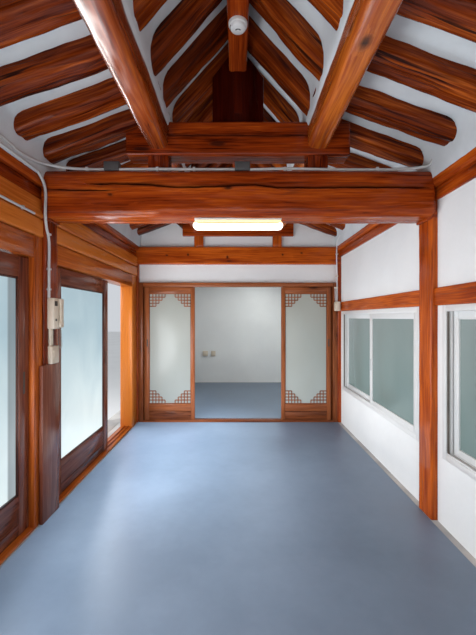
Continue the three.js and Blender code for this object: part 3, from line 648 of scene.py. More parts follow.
# Painted light: the screed's blue tint stands in for cool daylight from the doors on a grey floor
cool_daylit_screed = plain(
    "cool_daylit_screed", (0.110, 0.148, 0.205), (0.160, 0.208, 0.280), 1.1,
    14.0, 0.42, 0.06, 0.001, Coat_Weight=0.10, Coat_Roughness=0.3,
)
granite = plain("granite", (0.50, 0.48, 0.45), (0.34, 0.33, 0.32), 3.5, 190.0, 0.88, 0.8, 0.003)
clay_tile = plain("clay_tile", (0.085, 0.090, 0.097), (0.19, 0.195, 0.20), 2.2, 60.0, 0.72, 0.6, 0.002)
roof_clay = plain("roof_clay", (0.30, 0.27, 0.23), (0.42, 0.39, 0.34), 5.0, 50.0, 0.9, 0.7, 0.003)
window_white = plain(
    "window_white", (0.70, 0.71, 0.71), (0.65, 0.66, 0.66), 2.0, 30.0, 0.32, 0.05, 0.001, 0.06,
)
pipe_grey = plain("pipe_grey", (0.52, 0.53, 0.53), (0.44, 0.45, 0.45), 9.0, 70.0, 0.45, 0.1, 0.001)
pipe_white = plain("pipe_white", (0.74, 0.74, 0.75), (0.66, 0.66, 0.67), 9.0, 70.0, 0.45, 0.1, 0.001)
cord_grey = plain("cord_grey", (0.20, 0.18, 0.17), (0.28, 0.25, 0.23), 12.0, 90.0, 0.5, 0.1, 0.001)
box_grey = plain("box_grey", (0.050, 0.050, 0.052), (0.070, 0.070, 0.072), 12.0, 90.0, 0.5, 0.1, 0.001)
ivory = plain("ivory", (0.66, 0.58, 0.47), (0.58, 0.50, 0.40), 8.0, 90.0, 0.42, 0.1, 0.001)
gasket_brown = plain("gasket_brown", (0.16, 0.135, 0.115), (0.11, 0.095, 0.08), 9.0, 60.0, 0.6, 0.1, 0.001)
slot_black = plain("slot_black", (0.03, 0.025, 0.02), (0.05, 0.04, 0.03), 9.0, 60.0, 0.6, 0.1, 0.001)


def frosted(name, base, low_glow, high_glow, bottom, top):
    """Sandblasted glass with daylight behind it, from the glow at its foot to the one at its head. The glow
    is painted light, given as emission, and where the tone is low it turns dark as a painted shadow of what
    stands behind.
    """
    material, tree, shader = finish(name, Roughness=0.26, Specular_IOR_Level=0.4, Emission_Strength=1.0)
    shader.inputs["Base Color"].default_value = (*base, 1)
    wisps = clouds(tree, stretch(tree, object_place(tree), (1.2, 1.2, 0.7)), 2.2, 3.0, 0.6)
    share = plus(tree, band(tree, object_height(tree), bottom, top), swing(tree, wisps, 0.7), True)
    glow = blend(tree, share, (*low_glow, 1), (*high_glow, 1))
    # Painted shadow: a low tone turns the glow dark grey where a stile stands behind the glass
    behind = times(tree, attribute(tree, "tone", "Fac"), -1.0, True)
    glow = blend(tree, times(tree, behind, 0.86), glow, (0.035, 0.04, 0.045, 1))
    tree.links.new(glow, shader.inputs["Emission Color"])
    raise_by(tree, shader, clouds(tree, object_place(tree), 420.0, 2.0), 0.15, 0.0006)
    return material


# All three glasses glow with painted light from behind: daylight in the doors and windows and the bedroom's
# light in the partition
daylit_glass = frosted("daylit_glass", (0.18, 0.22, 0.23), (0.76, 0.84, 0.83), (0.29, 0.41, 0.47), 0.6, 1.7)
partition_glass = frosted(
    "partition_glass", (0.23, 0.235, 0.215), (0.16, 0.19, 0.195), (0.13, 0.135, 0.12), 0.7, 2.1,
)
window_glass = frosted(
    "window_glass", (0.11, 0.145, 0.14), (0.06, 0.10, 0.095), (0.13, 0.15, 0.15), 0.9, 1.8,
)


def lamp_finish():
    """Lit diffuser, white in front and yellow over its seam."""
    material, tree, shader = finish("lamp_diffuser", Roughness=0.35, Emission_Strength=1.9)
    over_seam = band(tree, object_height(tree), 2.434, 2.438)
    warm = blend(tree, over_seam, (1.0, 0.96, 0.88, 1), (0.95, 0.62, 0.16, 1))
    tree.links.new(warm, shader.inputs["Emission Color"])
    shader.inputs["Base Color"].default_value = (0.95, 0.93, 0.86, 1)
    return material


lamp_glow = lamp_finish()

# Main frame in the living room


def frame_timbers():
    main = Shell()
    width, height, corner = 0.240, 0.315, 0.050
    foot = 2.470
    face_start = width / 2 - corner + math.pi / 2 * corner

    def on_near_face(z):
        return face_start + (z - foot - corner)

    long_split = [
        (0.29, 0.010), (0.5, 0.013), (0.72, 0.006), (0.92, -0.010), (1.15, -0.008), (1.35, 0.003),
        (1.45, 0.006), (1.53, -0.004), (1.60, -0.014), (1.85, -0.016), (2.2, -0.010), (2.66, -0.018),
    ]
    short_split = [(0.0, 0.003), (0.2, -0.002), (0.4, -0.006), (0.56, -0.004)]
    timber(
        main, (-1.335, MAIN_Y, foot + height / 2), (1.335, MAIN_Y, foot + height / 2),
        width, height, corner, wave=0.0045, sway=0.003,
        pitch=0.014, row=0.010, bends=8, edge=0.02,
        splits=[
            (on_near_face(2.675), long_split, 0.017, 0.026),
            (on_near_face(2.640), short_split, 0.010, 0.018),
        ],
        knots=[(1.268, on_near_face(2.656), 0.030, 0.014), (0.475, on_near_face(2.612), 0.018, 0.009)],
        seed=3, tone=-0.10,
    )
    for side in (-1, 1):
        timber(
            main, (side * 1.30, MAIN_Y, 2.5205), (side * 1.56, MAIN_Y, 2.5205),
            0.165, 0.131, 0.012, wave=0.001, seed=5 + side, tone=-0.2,
        )
    piece("main_beam_hewn", main, beam_pine, ["main_beam"])

    posts = Shell()
    for side, seed in ((-1, 11), (1, 12)):
        path = [(0.25, 0.0), (0.7, 0.010), (1.1, -0.006), (1.5, 0.008), (1.9, 0.002)]
        checks = [(0.256, path, 0.008, 0.012)] if side == 1 else []
        # Painted shade: the left post, with its face in shade, is toned much darker than the right one
        timber(
            posts, (side * POST_X, MAIN_Y, FLOOR), (side * POST_X, MAIN_Y, MAIN_POST_TOP),
            POST, POST, 0.014, up=(0, -1, 0) if side == 1 else (1, 0, 0),
            wave=0.0025, pitch=0.03, row=0.018, bends=4, splits=checks,
            seed=seed, tone=0.45 if side == 1 else -0.75, fade=0.3,
        )
    piece("main_posts_hewn", posts, beam_pine, ["main_left_post", "main_right_post"])

    # Painted shade: the upper beam is toned darker than the main beam
    upper = Shell()
    half, corner = 0.150 / 2, 0.016
    near_split = half - corner + 0.025 + 0.115
    split_path = [(0.02, 0.0), (0.5, 0.004), (1.0, -0.004), (1.5, 0.002)]
    timber(
        upper, (-0.77, MAIN_Y, 3.015), (0.77, MAIN_Y, 3.015), 2 * half, 0.230, corner, wave=0.002,
        pitch=0.02, row=0.014, bends=4, edge=0.008, splits=[(near_split, split_path, 0.005, 0.010)],
        seed=17, tone=-0.5,
    )
    piece("upper_beam_hewn", upper, beam_pine, ["main_upper_beam"])
    # Painted shade: the struts are toned darker than the main beam
    struts = Shell()
    for side in (-1, 1):
        timber(
            struts, (side * 0.55, MAIN_Y, 2.785), (side * 0.55, MAIN_Y, 2.900), 0.140,
            0.140, 0.010, up=(0, -1, 0), wave=0.001, seed=20 + side, tone=-0.7,
        )
    piece("struts_hewn", struts, beam_pine, ["main_left_strut", "main_right_strut"])


def king_board(shell, half, y0, y1, z0, tone, seed):
    """The wide board on the upper beam, with its shoulders cut to the rafters."""
    shoulder = high_under(half) - 0.023
    head_half, head = 0.0655, 3.598
    corners = [
        (-half, z0), (half, z0), (half, shoulder), (head_half, head), (-head_half, head), (-half, shoulder),
    ]
    inset = 0.004
    points = []
    middle = np.mean(corners, axis=0)
    for y, pull in ((y0, inset), (y0 + inset, 0), (y1 - inset, 0), (y1, inset)):
        for corner in corners:
            away = np.array(corner) - middle
            x, z = np.array(corner) - away / np.linalg.norm(away) * pull
            points.append((x, y, z))
    grain = [(z + seed, x, y) for x, y, z in points]
    shell.add(points, loops(4, len(corners), True), grain, tone)


frame_timbers()
board = Shell()
king_board(board, 0.1775, -1.145, -1.055, 3.130, 0.0, 4)
bar(board, (-0.030, -1.1485, 3.20), (0.028, -1.1435, 3.55), 0.002, 2, tone=0.7, seed=9)
piece("king_board", board, shaded_pine, ["main_king_board"])

# Purlins and rafters


def purlins():
    # Painted shade: the left middle purlin is toned darker than the right one
    for name, side, tone, seed in (
        ("left_middle_purlin", -1, -0.55, 31), ("right_middle_purlin", 1, 0.25, 32),
    ):
        purlin = Shell()
        width, height, corner = 0.145, 0.190, 0.052
        around = perimeter(width, height, corner)
        knots = []
        if side == 1:
            knots = [
                (2.365, around - 0.015, 0.038, 0.025),
                (2.365, -0.015, 0.038, 0.025), (2.36, around - 0.112, 0.036, 0.011),
            ]
        timber(
            purlin, (side * 0.55, -TIMBER_Y, 3.035), (side * 0.55, TIMBER_Y, 3.035),
            width, height, corner, wave=0.004, sway=0.002,
            pitch=0.026, row=0.013, bends=8, knots=knots, seed=seed, tone=tone,
        )
        piece(name + "_hewn", purlin, purlin_pine, [name])
    ridge = Shell()
    timber(
        ridge, (0, -TIMBER_Y, 3.5785), (0, TIMBER_Y, 3.5785), 0.125, 0.177,
        0.020, wave=0.002, pitch=0.06, row=0.025, seed=33, tone=0.1,
    )
    piece("ridge_purlin_hewn", ridge, beam_pine, ["ridge_purlin"])
    for name, side, tone, seed in (("left_eave_purlin", -1, 0.0, 34), ("right_eave_purlin", 1, 0.3, 35)):
        stack = Shell()
        timber(
            stack, (side * 1.400, -TIMBER_Y, 2.7365),
            (side * 1.400, TIMBER_Y, 2.7365), 0.180, 0.133, 0.026, wave=0.003,
            pitch=0.05, row=0.02, bends=4, seed=seed, tone=tone,
        )
        timber(
            stack, (side * 1.400, -TIMBER_Y, 2.628),
            (side * 1.400, TIMBER_Y, 2.628), 0.110, 0.084, 0.008, wave=0.001,
            pitch=0.10, row=0.03, seed=seed + 10, tone=tone - 0.3,
        )
        piece(name + "_hewn", stack, beam_pine, [name])


def log(shell, start, end, seed, tone, fade):
    picker = random.Random(seed)
    girth = RAFTER * picker.uniform(1.03, 1.12)
    timber(
        shell, start, end, girth, girth * picker.uniform(0.93, 0.99),
        RAFTER * 0.30, wave=0.0085, sway=0.007,
        bow=picker.uniform(-0.006, 0.006),
        taper=picker.uniform(-0.04, 0.06), pitch=0.036, row=0.02, bends=5,
        edge=0.006, seed=seed, tone=tone + picker.uniform(-0.25, 0.2), fade=fade,
    )


def rafters():
    lift = RAFTER / 2 * math.hypot(1, LOW_SLOPE)
    # Painted shade: the left slope's rafters are toned darker than the right slope's, which the doors' light
    # reaches
    for name, (side, first, spacing, count), tone in (
        ("left_lower_rafters", LEFT_ROW, -0.30), ("right_lower_rafters", RIGHT_ROW, -0.12),
    ):
        row = Shell()
        for i in range(count):
            y = first + spacing * i
            start = (side * 0.49, y, low_under(0.49) + lift)
            end = (side * (EAVE_X - 0.002), y, low_under(EAVE_X - 0.002) + lift)
            log(row, start, end, 100 + i + (50 if side > 0 else 0), tone, 0.1)
        strip_x = sorted((side * 2.12, side * EAVE_X))
        z = low_under(2.15) + RAFTER * math.hypot(1, LOW_SLOPE)
        bar(row, (strip_x[0], -TIMBER_Y, z - 0.045), (strip_x[1], TIMBER_Y, z - 0.006), 0.003, 1, tone=-0.4)
        piece(name[:-8] + "_logs", row, rafter_pine, [name])
    upper = Shell()
    lift = RAFTER / 2 * math.hypot(1, HIGH_SLOPE)
    for side, first, spacing, count in (LEFT_ROW, RIGHT_ROW):
        for i in range(count - 1):
            y = first + spacing * (i + 0.5)
            start = (side * 0.615, y, high_under(0.615) + lift)
            end = (side * 0.01, y, high_under(0.01) + lift)
            # Painted shade: the left upper rafters are toned darker than the right ones
            log(upper, start, end, 300 + i + (50 if side > 0 else 0), -0.35 if side < 0 else -0.05, -0.2)
    piece("upper_logs", upper, rafter_pine, ["upper_rafters"])


def infill():
    """Plaster between the rafters, with coves down to the purlins."""
    for name, side in (("left", -1), ("right", 1)):
        sheet = Shell()
        low = [(0.608, 3.098), (0.624, 3.106), (0.632, 3.140), (0.638, low_under(0.638) + LOW_RISE - 0.02)]
        low += [(x, low_under(x) + LOW_RISE) for x in (0.66, 0.74, 0.84, 0.94, 1.04, 1.14, 1.235)]
        low += [(1.262, low_under(1.262) + LOW_RISE - 0.005), (1.279, low_under(1.279) + LOW_RISE - 0.020)]
        low += [(1.289, 2.905), (1.294, 2.860), (1.299, 2.790), (1.306, 2.722)]
        out = [(1.494, 2.790), (1.50, 2.84), (1.53, low_under(1.53) + LOW_RISE - 0.004)]
        out += [(x, low_under(x) + LOW_RISE) for x in (1.60, 1.80, 2.00, 2.119)]
        high = [(0.492, 3.094), (0.478, 3.104), (0.470, 3.130), (0.466, 3.170), (0.463, 3.225)]
        high += [
            (0.452, high_under(0.452) + HIGH_RISE - 0.026), (0.436, high_under(0.436) + HIGH_RISE - 0.007),
        ]
        high += [(x, high_under(x) + HIGH_RISE) for x in (0.41, 0.34, 0.26, 0.17, 0.10, 0.055)]
        ys = np.arange(-TIMBER_Y + 0.005, TIMBER_Y, 0.02)
        for line, lean, flip in (
            (low, LOW_SLOPE, side > 0), (out, LOW_SLOPE, side > 0), (high, HIGH_SLOPE, side < 0),
        ):
            grid = []
            for x, z in line:
                row = []
                for y in ys:
                    edge = 0.3 if abs(x - 1.30) < 0.02 or 0.44 < x < 0.632 else 1.0
                    swell = 0.006 * rough((x, y, 0), (0.3, 0.35, 1), 7 + side)
                    swell += 0.006 * rough((x, y, 0), (0.09, 0.033, 1), 9 + side)
                    row.append((side * (x - swell * lean * edge * 0.7), y, z + swell * edge))
                grid.append(row)
            skin(sheet, grid, flip=flip)
        piece(name + "_rafter_infill", sheet, shaded_infill_plaster, smooth=60)


purlins()
rafters()
infill()

# Partition truss and bedroom side


def partition_timbers():
    truss = Shell()
    timber(
        truss, (-1.56, PARTITION_Y, 2.605), (1.56, PARTITION_Y, 2.605),
        0.160, 0.230, 0.014, wave=0.0015, pitch=0.012, row=0.009, bends=4,
        knots=[
            (0.62, 0.19, 0.016, 0.010), (0.90, 0.20, 0.014, 0.018), (1.42, 0.17, 0.016, 0.020),
            (2.15, 0.20, 0.014, 0.016), (2.40, 0.22, 0.018, 0.012),
        ],
        seed=41, tone=0.55,
    )
    for side in (-1, 1):
        bar(
            truss, (side * 0.52 - 0.06, 1.03, 2.72),
            (side * 0.52 + 0.06, 1.08, 2.87), 0.004, 2, tone=0.3, seed=2 + side,
        )
    timber(
        truss, (-0.735, 1.055, 2.9975), (0.735, 1.055, 2.9975),
        0.050, 0.265, 0.008, wave=0.001, seed=43, tone=-0.1,
    )
    king_board(truss, 0.15, 1.03, 1.08, 3.13, 0.0, 6)
    piece("partition_truss_timbers", truss, beam_pine, ["partition_truss"])
    posts = Shell()
    for side in (-1, 1):
        timber(
            posts, (side * POST_X, PARTITION_Y, FLOOR), (side * POST_X, PARTITION_Y, POST_TOP),
            POST, POST, 0.012, up=(1, 0, 0), wave=0.0015, seed=45 + side, tone=-0.1,
        )
    piece("partition_posts_hewn", posts, beam_pine, ["partition_left_post", "partition_right_post"])


def lattice(shell, x0, x1, z0, z1, y0, y1, tone):
    """Stepped grids of small bars in the four corners of a light."""
    step, thin = 0.0405, 0.0125
    counts = (5, 4, 3, 2)
    for from_left in (True, False):
        for from_top in (True, False):
            for r, reach in enumerate(counts, 1):
                z = (z1 - r * step) if from_top else (z0 + r * step)
                a, b = (x0, x0 + reach * step) if from_left else (x1 - reach * step, x1)
                bar(shell, (a, y0, z - thin / 2), (b, y1, z + thin / 2), 0.0015, 0, tone, r)
            for c in range(1, counts[0] + 1):
                drop = sum(1 for n in counts if n >= c)
                x = (x0 + c * step) if from_left else (x1 - c * step)
                a, b = (z1 - drop * step, z1) if from_top else (z0, z0 + drop * step)
                bar(shell, (x - thin / 2, y0 + 0.001, a), (x + thin / 2, y1 - 0.001, b), 0.0015, 2, tone, c)


def pane(shell, low, high):
    bar(shell, low, high, 0.0015)


def glazing(shell, x, columns, z0, z1):
    """A sheet of glass across X, from its columns of y and tone. A low tone paints the shadow of what stands
    behind it.
    """
    n = len(columns)
    points = [(x + side, y, z) for side in (-0.003, 0.003) for z in (z0, z1) for y, _ in columns]
    faces = [(0, 2 * n, 3 * n, n), (n - 1, 2 * n - 1, 4 * n - 1, 3 * n - 1)]
    for c in range(n - 1):
        faces += [
            (c, n + c, n + c + 1, c + 1), (2 * n + c, 2 * n + c + 1, 3 * n + c + 1, 3 * n + c),
            (c, c + 1, 2 * n + c + 1, 2 * n + c), (n + c, 3 * n + c, 3 * n + c + 1, n + c + 1),
        ]
    shell.add(points, faces, tone=[tone for _, tone in columns] * 4)


def leaf_wood(turn, along, a0, a1, half, stile, bevel, rail, light, head, panel, bead, tones):
    """Stiles, rails, panel and glazing beads of a sliding leaf.

    Turn makes a place of (along the leaf, through it, height). Light is the foot and head of the glass that
    shows, panel is (foot, head, inset, bevel) and bead is (width, bevel).
    """
    wood = Shell()
    b0, b1 = a0 + stile, a1 - stile
    g0, g1 = light
    wide, fine = bead
    parts = [
        (a0, b0, LEAF_FOOT, head, 0.0, bevel, 2, tones[0], 1),
        (b1, a1, LEAF_FOOT, head, 0.0, bevel, 2, tones[0], 2),
        (b0, b1, g1, head, 0.001, bevel, along, tones[1], 3),
        (b0, b1, rail, g0, 0.001, bevel, along, tones[2], 4),
        (b0, b1, *panel, along, tones[3], 5),
        (b0, b0 + wide, g0, g1, 0.004, fine, 2, tones[4], 6),
        (b1 - wide, b1, g0, g1, 0.004, fine, 2, tones[4], 6),
        (b0, b1, g0, g0 + wide, 0.004, fine, along, tones[4], 7),
        (b0, b1, g1 - wide, g1, 0.004, fine, along, tones[4], 7),
    ]
    for low_a, high_a, low_z, high_z, inset, edge, axis, tone, seed in parts:
        low, high = turn(low_a, inset - half, low_z), turn(high_a, half - inset, high_z)
        bar(wood, low, high, edge, axis, tone, seed)
    return wood


def leaf_pieces(name, wood, glass, pull, timber_finish, glass_finish):
    piece(name + "_wood", wood, timber_finish, [name], name)
    piece(name + "_glass", glass, glass_finish, body=name)
    piece(name + "_pull", pull, slot_black, body=name)


def partition_leaf(name, x0, x1, y, pull_side):
    glass, pull = Shell(), Shell()
    half, stile, bead, light = 0.015, 0.052, 0.007, (0.640, 2.102)
    wood = leaf_wood(
        lambda a, through, z: (a, y + through, z), 0, x0, x1, half, stile, 0.003, 0.545, light, 2.187,
        (LEAF_FOOT + 0.002, 0.539, 0.005, 0.002), (bead, 0.002), (0.35, 0.2, 0.1, -0.6, -0.4),
    )
    inset = stile + bead
    lattice(
        wood, x0 + inset, x1 - inset, light[0] + bead, light[1] - bead, y - half + 0.0045, y - 0.0035, -0.1,
    )
    pane(
        glass, (x0 + stile - 0.004, y - 0.003, light[0] - 0.004),
        (x1 - stile + 0.004, y + 0.003, light[1] + 0.004),
    )
    px = x0 + stile / 2 if pull_side < 0 else x1 - stile / 2
    bar(pull, (px - 0.008, y - half - 0.0006, 1.40), (px + 0.008, y - half + 0.004, 1.50), 0.002)
    leaf_pieces(name, wood, glass, pull, leaf_pine, partition_glass)


def partition_frame():
    wood, glass = Shell(), Shell()
    y0, y1 = 1.025, 1.145
    for side in (-1, 1):
        xs = sorted((side * 1.2575, side * POST_IN))
        bar(wood, (xs[0], y0, FLOOR), (xs[1], y1, 2.246), 0.004, 2, -0.35, 3 + side)
        xs = sorted((side * 0.600, side * 1.2595))
        y = 1.097
        bar(wood, (xs[0], y - 0.015, TRACK_TOP), (xs[0] + 0.052, y + 0.015, 2.193), 0.003, 2, 0.2, 8)
        bar(wood, (xs[1] - 0.052, y - 0.015, TRACK_TOP), (xs[1], y + 0.015, 2.193), 0.003, 2, 0.2, 9)
        bar(wood, (xs[0] + 0.052, y - 0.014, 2.102), (xs[1] - 0.052, y + 0.014, 2.193), 0.003, 0, 0.1, 10)
        bar(wood, (xs[0] + 0.052, y - 0.014, 0.43), (xs[1] - 0.052, y + 0.014, 0.640), 0.003, 0, 0.0, 11)
        lattice(wood, xs[0] + 0.052, xs[1] - 0.052, 0.640, 2.102, y + 0.0035, y + 0.0115, 0.0)
        pane(glass, (xs[0] + 0.048, y - 0.003, 0.636), (xs[1] - 0.048, y + 0.003, 2.106))
    bar(wood, (-1.2575, y0, 2.193), (1.2575, y1, 2.246), 0.004, 0, 0.15, 12)
    bar(wood, (-1.2575, y0, FLOOR), (1.2575, y1, SILL_TOP), 0.003, 0, -0.1, 13)
    bar(wood, (-1.2575, 1.0515, 0.418), (1.2575, 1.0585, TRACK_TOP), 0.001, 0, -0.3, 14)
    piece("partition_frame_wood", wood, leaf_pine, ["partition_door_frame"])
    piece("partition_frame_glass", glass, partition_glass)


partition_timbers()
partition_frame()
partition_leaf("partition_left_door", -1.231, -0.574, 1.055, -1)
partition_leaf("partition_right_door", 0.574, 1.231, 1.055, 1)

# Left side: door frames, lintels and leaves


def left_frames():
    x0, x1 = -1.4775, -1.3275
    bays = (
        ("left_door_frame_1", "left_lintel_1", (-3.8175, -3.7975), (-1.29, -1.1825)),
        ("left_door_frame_2", "left_lintel_2", (-1.0175, -0.9975), (0.7925, 1.0175)),
    )
    for frame_name, lintel_name, near, far in bays:
        wood = Shell()
        bar(wood, (x0, near[0], FLOOR), (x1, near[1], JAMB_TOP), 0.003, 2, 0.1, 1)
        # Painted shade and painted light: the first bay's far board is toned darker, and the second bay's far
        # jamb, beside the open doorway, much lighter
        if frame_name.endswith("1"):
            bar(wood, (x0, far[0], FLOOR), (x1, far[1] - 0.055, JAMB_TOP), 0.004, 2, -0.5, 2)
            bar(wood, (x0 + 0.01, far[1] - 0.053, FLOOR), (x1 - 0.008, far[1], JAMB_TOP), 0.004, 2, 0.25, 3)
        else:
            bar(wood, (x0, far[0], FLOOR), (x1, far[0] + 0.150, JAMB_TOP), 0.004, 2, 1.4, 2)
            bar(wood, (x0 + 0.012, far[0] + 0.152, FLOOR), (x1 - 0.01, far[1], JAMB_TOP), 0.004, 2, 0.6, 3)
        bar(wood, (x0, near[1], 2.175), (x1, far[0], 2.320), 0.005, 1, 0.1, 4)
        bar(wood, (x0, near[1], FLOOR), (x1, far[0], SILL_TOP), 0.003, 1, 0.2, 5)
        for track in (INNER_TRACK, OUTER_TRACK):
            bar(
                wood, (track - 0.0035, near[1], 0.418),
                (track + 0.0035, far[0], TRACK_TOP), 0.001, 1, -0.4, 6,
            )
        piece(frame_name + "_wood", wood, planed_pine, [frame_name])
        lintel = Shell()
        low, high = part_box(lintel_name)
        depth = high.x - low.x
        middle = (low.x + high.x) / 2
        for z0, z1, seed, tone in ((2.327, 2.452, 51, 1.3), (2.458, 2.586, 53, 0.55)):
            timber(
                lintel, (middle, low.y, (z0 + z1) / 2),
                (middle, high.y, (z0 + z1) / 2), depth, z1 - z0, 0.014, wave=0.0018,
                pitch=0.05, row=0.02, seed=seed + (4 if frame_name.endswith("2") else 0), tone=tone,
            )
        piece(lintel_name + "_timbers", lintel, planed_pine, [lintel_name])


def glazed_leaf(name, x, y0, y1, behind=0.0):
    """One glazed leaf. Behind is the width of its glass, at the far end, with another leaf's stile behind,
    whose shadow is painted on the glass there.
    """
    glass, pull = Shell(), Shell()
    half, stile, light = 0.0175, 0.10, (0.678, 2.037)
    wood = leaf_wood(
        lambda a, through, z: (x + through, a, z), 1, y0, y1, half, stile, 0.004, 0.505, light, 2.167,
        (LEAF_FOOT, 0.500, 0.003, 0.003), (0.012, 0.003), (-0.1, -0.2, -0.2, -0.5, -0.9),
    )
    near, far = y0 + stile - 0.004, y1 - stile + 0.004
    columns = [(near, 0.0), (far, 0.0)]
    if behind:
        # Painted shadow of the other leaf's stile, darkest just inside its edge
        columns = [(near, 0.0), (far - behind - 0.012, 0.0), (far - behind + 0.006, -0.85), (far, -0.62)]
    glazing(glass, x, columns, light[0] - 0.004, light[1] + 0.004)
    pull_y = y1 - stile / 2
    for side in (-1, 1):
        xs = sorted((x + side * (half - 0.004), x + side * (half + 0.0008)))
        bar(pull, (xs[0], pull_y - 0.010, 1.30), (xs[1], pull_y + 0.010, 1.44), 0.002)
    leaf_pieces(name, wood, glass, pull, door_pine_and_sheen, daylit_glass)


def post_board():
    """The flat board on the left post, from the floor up to the switch box."""
    board = Shell()
    bar(board, (-1.3275, -1.236, FLOOR), (-1.303, -1.022, 1.462), 0.003, 2, 0.15, 7)
    piece("post_board", board, door_pine_and_sheen)


left_frames()
post_board()
glazed_leaf("left_inner_door_1", INNER_TRACK, -2.5675, -1.2975, 0.085)
glazed_leaf("left_outer_door_1", OUTER_TRACK, -2.6375, -1.3675)
glazed_leaf("left_inner_door_2", INNER_TRACK, -0.990, 0.060)
glazed_leaf("left_outer_door_2", OUTER_TRACK, -0.990, 0.060)

# Right side: rails and windows


def rails():
    knots = [(0.72, 0.2, 0.03, 0.022), (2.0, 0.23, 0.02, 0.012)]
    for name, seed in (
        ("right_rail_1", 61), ("right_rail_2", 62), ("right_rail_3", 63), ("left_rail_3", 64),
    ):
        low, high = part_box(name)
        size, middle = high - low, (low + high) / 2
        rail = Shell()
        timber(
            rail, (middle.x, low.y, middle.z), (middle.x, high.y, middle.z), size.x, size.z, 0.010,
            wave=0.0015, pitch=0.04, row=0.02, seed=seed, tone=0.5, knots=knots,
        )
        piece(name + "_timber", rail, beam_pine, [name])


def surround(shell, low, high, wide, bevel):
    """Four bars round an opening across X."""
    (x0, y0, z0), (x1, y1, z1) = low, high
    bar(shell, (x0, y0, z0), (x1, y0 + wide, z1), bevel, 2)
    bar(shell, (x0, y1 - wide, z0), (x1, y1, z1), bevel, 2)
    bar(shell, (x0, y0 + wide, z0), (x1, y1 - wide, z0 + wide), bevel, 1)
    bar(shell, (x0, y0 + wide, z1 - wide), (x1, y1 - wide, z1), bevel, 1)


def window(name):
    low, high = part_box(name)
    white, glass, grip, gasket = Shell(), Shell(), Shell(), Shell()
    rim, wide, half = 0.042, 0.058, 0.017
    surround(white, low, high, rim, 0.003)
    middle = (low.y + high.y) / 2
    z0, z1 = low.z + rim - 0.006, high.z - rim + 0.006
    near_sash = (low.x + 0.022, low.y + rim + 0.002, middle + 0.035)
    far_sash = (low.x + 0.062, middle - 0.035, high.y - rim - 0.002)
    for x, a, b in (near_sash, far_sash):
        surround(white, (x - half, a, z0), (x + half, b, z1), wide, 0.004)
        edge = wide - 0.006
        pane(glass, (x - 0.006, a + edge, z0 + edge), (x + 0.006, b - edge, z1 - edge))
    x, _, b = near_sash
    bar(grip, (x - half - 0.006, b - wide * 0.62, 1.24), (x - half + 0.002, b - wide * 0.38, 1.36), 0.003)
    sill, jamb = low.z + rim, high.y - rim
    for track in (0.004, 0.042, 0.082):
        x = low.x + track
        bar(white, (x, low.y + rim, sill - 0.002), (x + 0.003, jamb, sill + 0.010), 0.001, 1)
    for x0, x1 in ((0.008, 0.022), (0.050, 0.078)):
        bar(gasket, (low.x + x0, jamb - 0.004, sill), (low.x + x1, jamb + 0.001, high.z - rim), 0.001, 2)
    bar(white, (low.x + 0.030, jamb - 0.010, sill), (low.x + 0.042, jamb + 0.001, high.z - rim), 0.002, 2)
    piece(name + "_frame", white, window_white, [name])
    piece(name + "_gasket", gasket, gasket_brown)
    piece(name + "_glass", glass, window_glass)
    piece(name + "_grip", grip, pipe_grey)


rails()
for number in (1, 2, 3):
    window(f"right_window_{number}")

# Gables


def gable(word, sign):
    wood = Shell()
    outer, inner = sign * WING_OUT, sign * 3.89
    y = (outer + inner) / 2
    thick = abs(outer - inner)
    post_y = sign * GABLE_Y
    for side in (-1, 1):
        timber(
            wood, (side * POST_X, post_y, FLOOR), (side * POST_X, post_y, POST_TOP),
            POST, POST, 0.012, up=(1, 0, 0), wave=0.0015, pitch=0.08,
            seed=71 + side + sign, tone=0.1,
        )
        timber(
            wood, (side * 0.55, y, 2.72), (side * 0.55, y, 2.90), 0.10, thick,
            0.006, up=(0, 1, 0), wave=0.001, seed=75 + side, tone=0.0,
        )
    timber(
        wood, (0, y, 0.53), (0, y, POST_TOP), 0.12, thick, 0.008,
        up=(0, 1, 0), wave=0.001, seed=78 + sign, tone=0.0,
    )
    for z0, z1, half, seed in (
        (FLOOR, 0.53, 1.3175, 81), (1.867, 1.988, 1.3175, 82),
        (POST_TOP, 2.72, 1.49, 83), (2.90, 3.13, 0.77, 84),
    ):
        timber(
            wood, (-half, y, (z0 + z1) / 2), (half, y, (z0 + z1) / 2), thick,
            z1 - z0, 0.008, wave=0.0012, pitch=0.08, seed=seed + sign, tone=0.05,
        )
    timber(
        wood, (0, y, 3.13), (0, y, 3.49), 0.14, thick, 0.006,
        up=(0, 1, 0), wave=0.001, seed=88 + sign, tone=-0.1,
    )
    piece(f"{word}_gable_timbers", wood, beam_pine, [f"{word}_gable_frame"])


gable("front", -1)
gable("back", 1)

# Roof


def roof_point(share):
    """Place and slope of the roof's outer line, from the eave at 0 to the ridge at 1."""
    p0, p1, p2 = (Vector((EAVE_END_X, 2.76)), Vector((1.0, 3.16)), Vector((0.0, 4.15)))
    at = p0 * (1 - share) ** 2 + p1 * 2 * share * (1 - share) + p2 * share**2
    way = ((p1 - p0) * (1 - share) + (p2 - p1) * share).normalized()
    return at, way


def roof_line(count):
    """Shares of the roof's outer line at even lengths."""
    shares = np.linspace(0, 0.93, 200)
    spots = np.array([roof_point(s)[0][:] for s in shares])
    run = np.concatenate([[0], np.cumsum(np.linalg.norm(np.diff(spots, axis=0), axis=1))])
    return [float(np.interp(run[-1] * i / count, run, shares)) for i in range(count + 1)]


TILE_PITCH, TILE_RADIUS, TILE_ROWS = 0.300, 0.072, 30


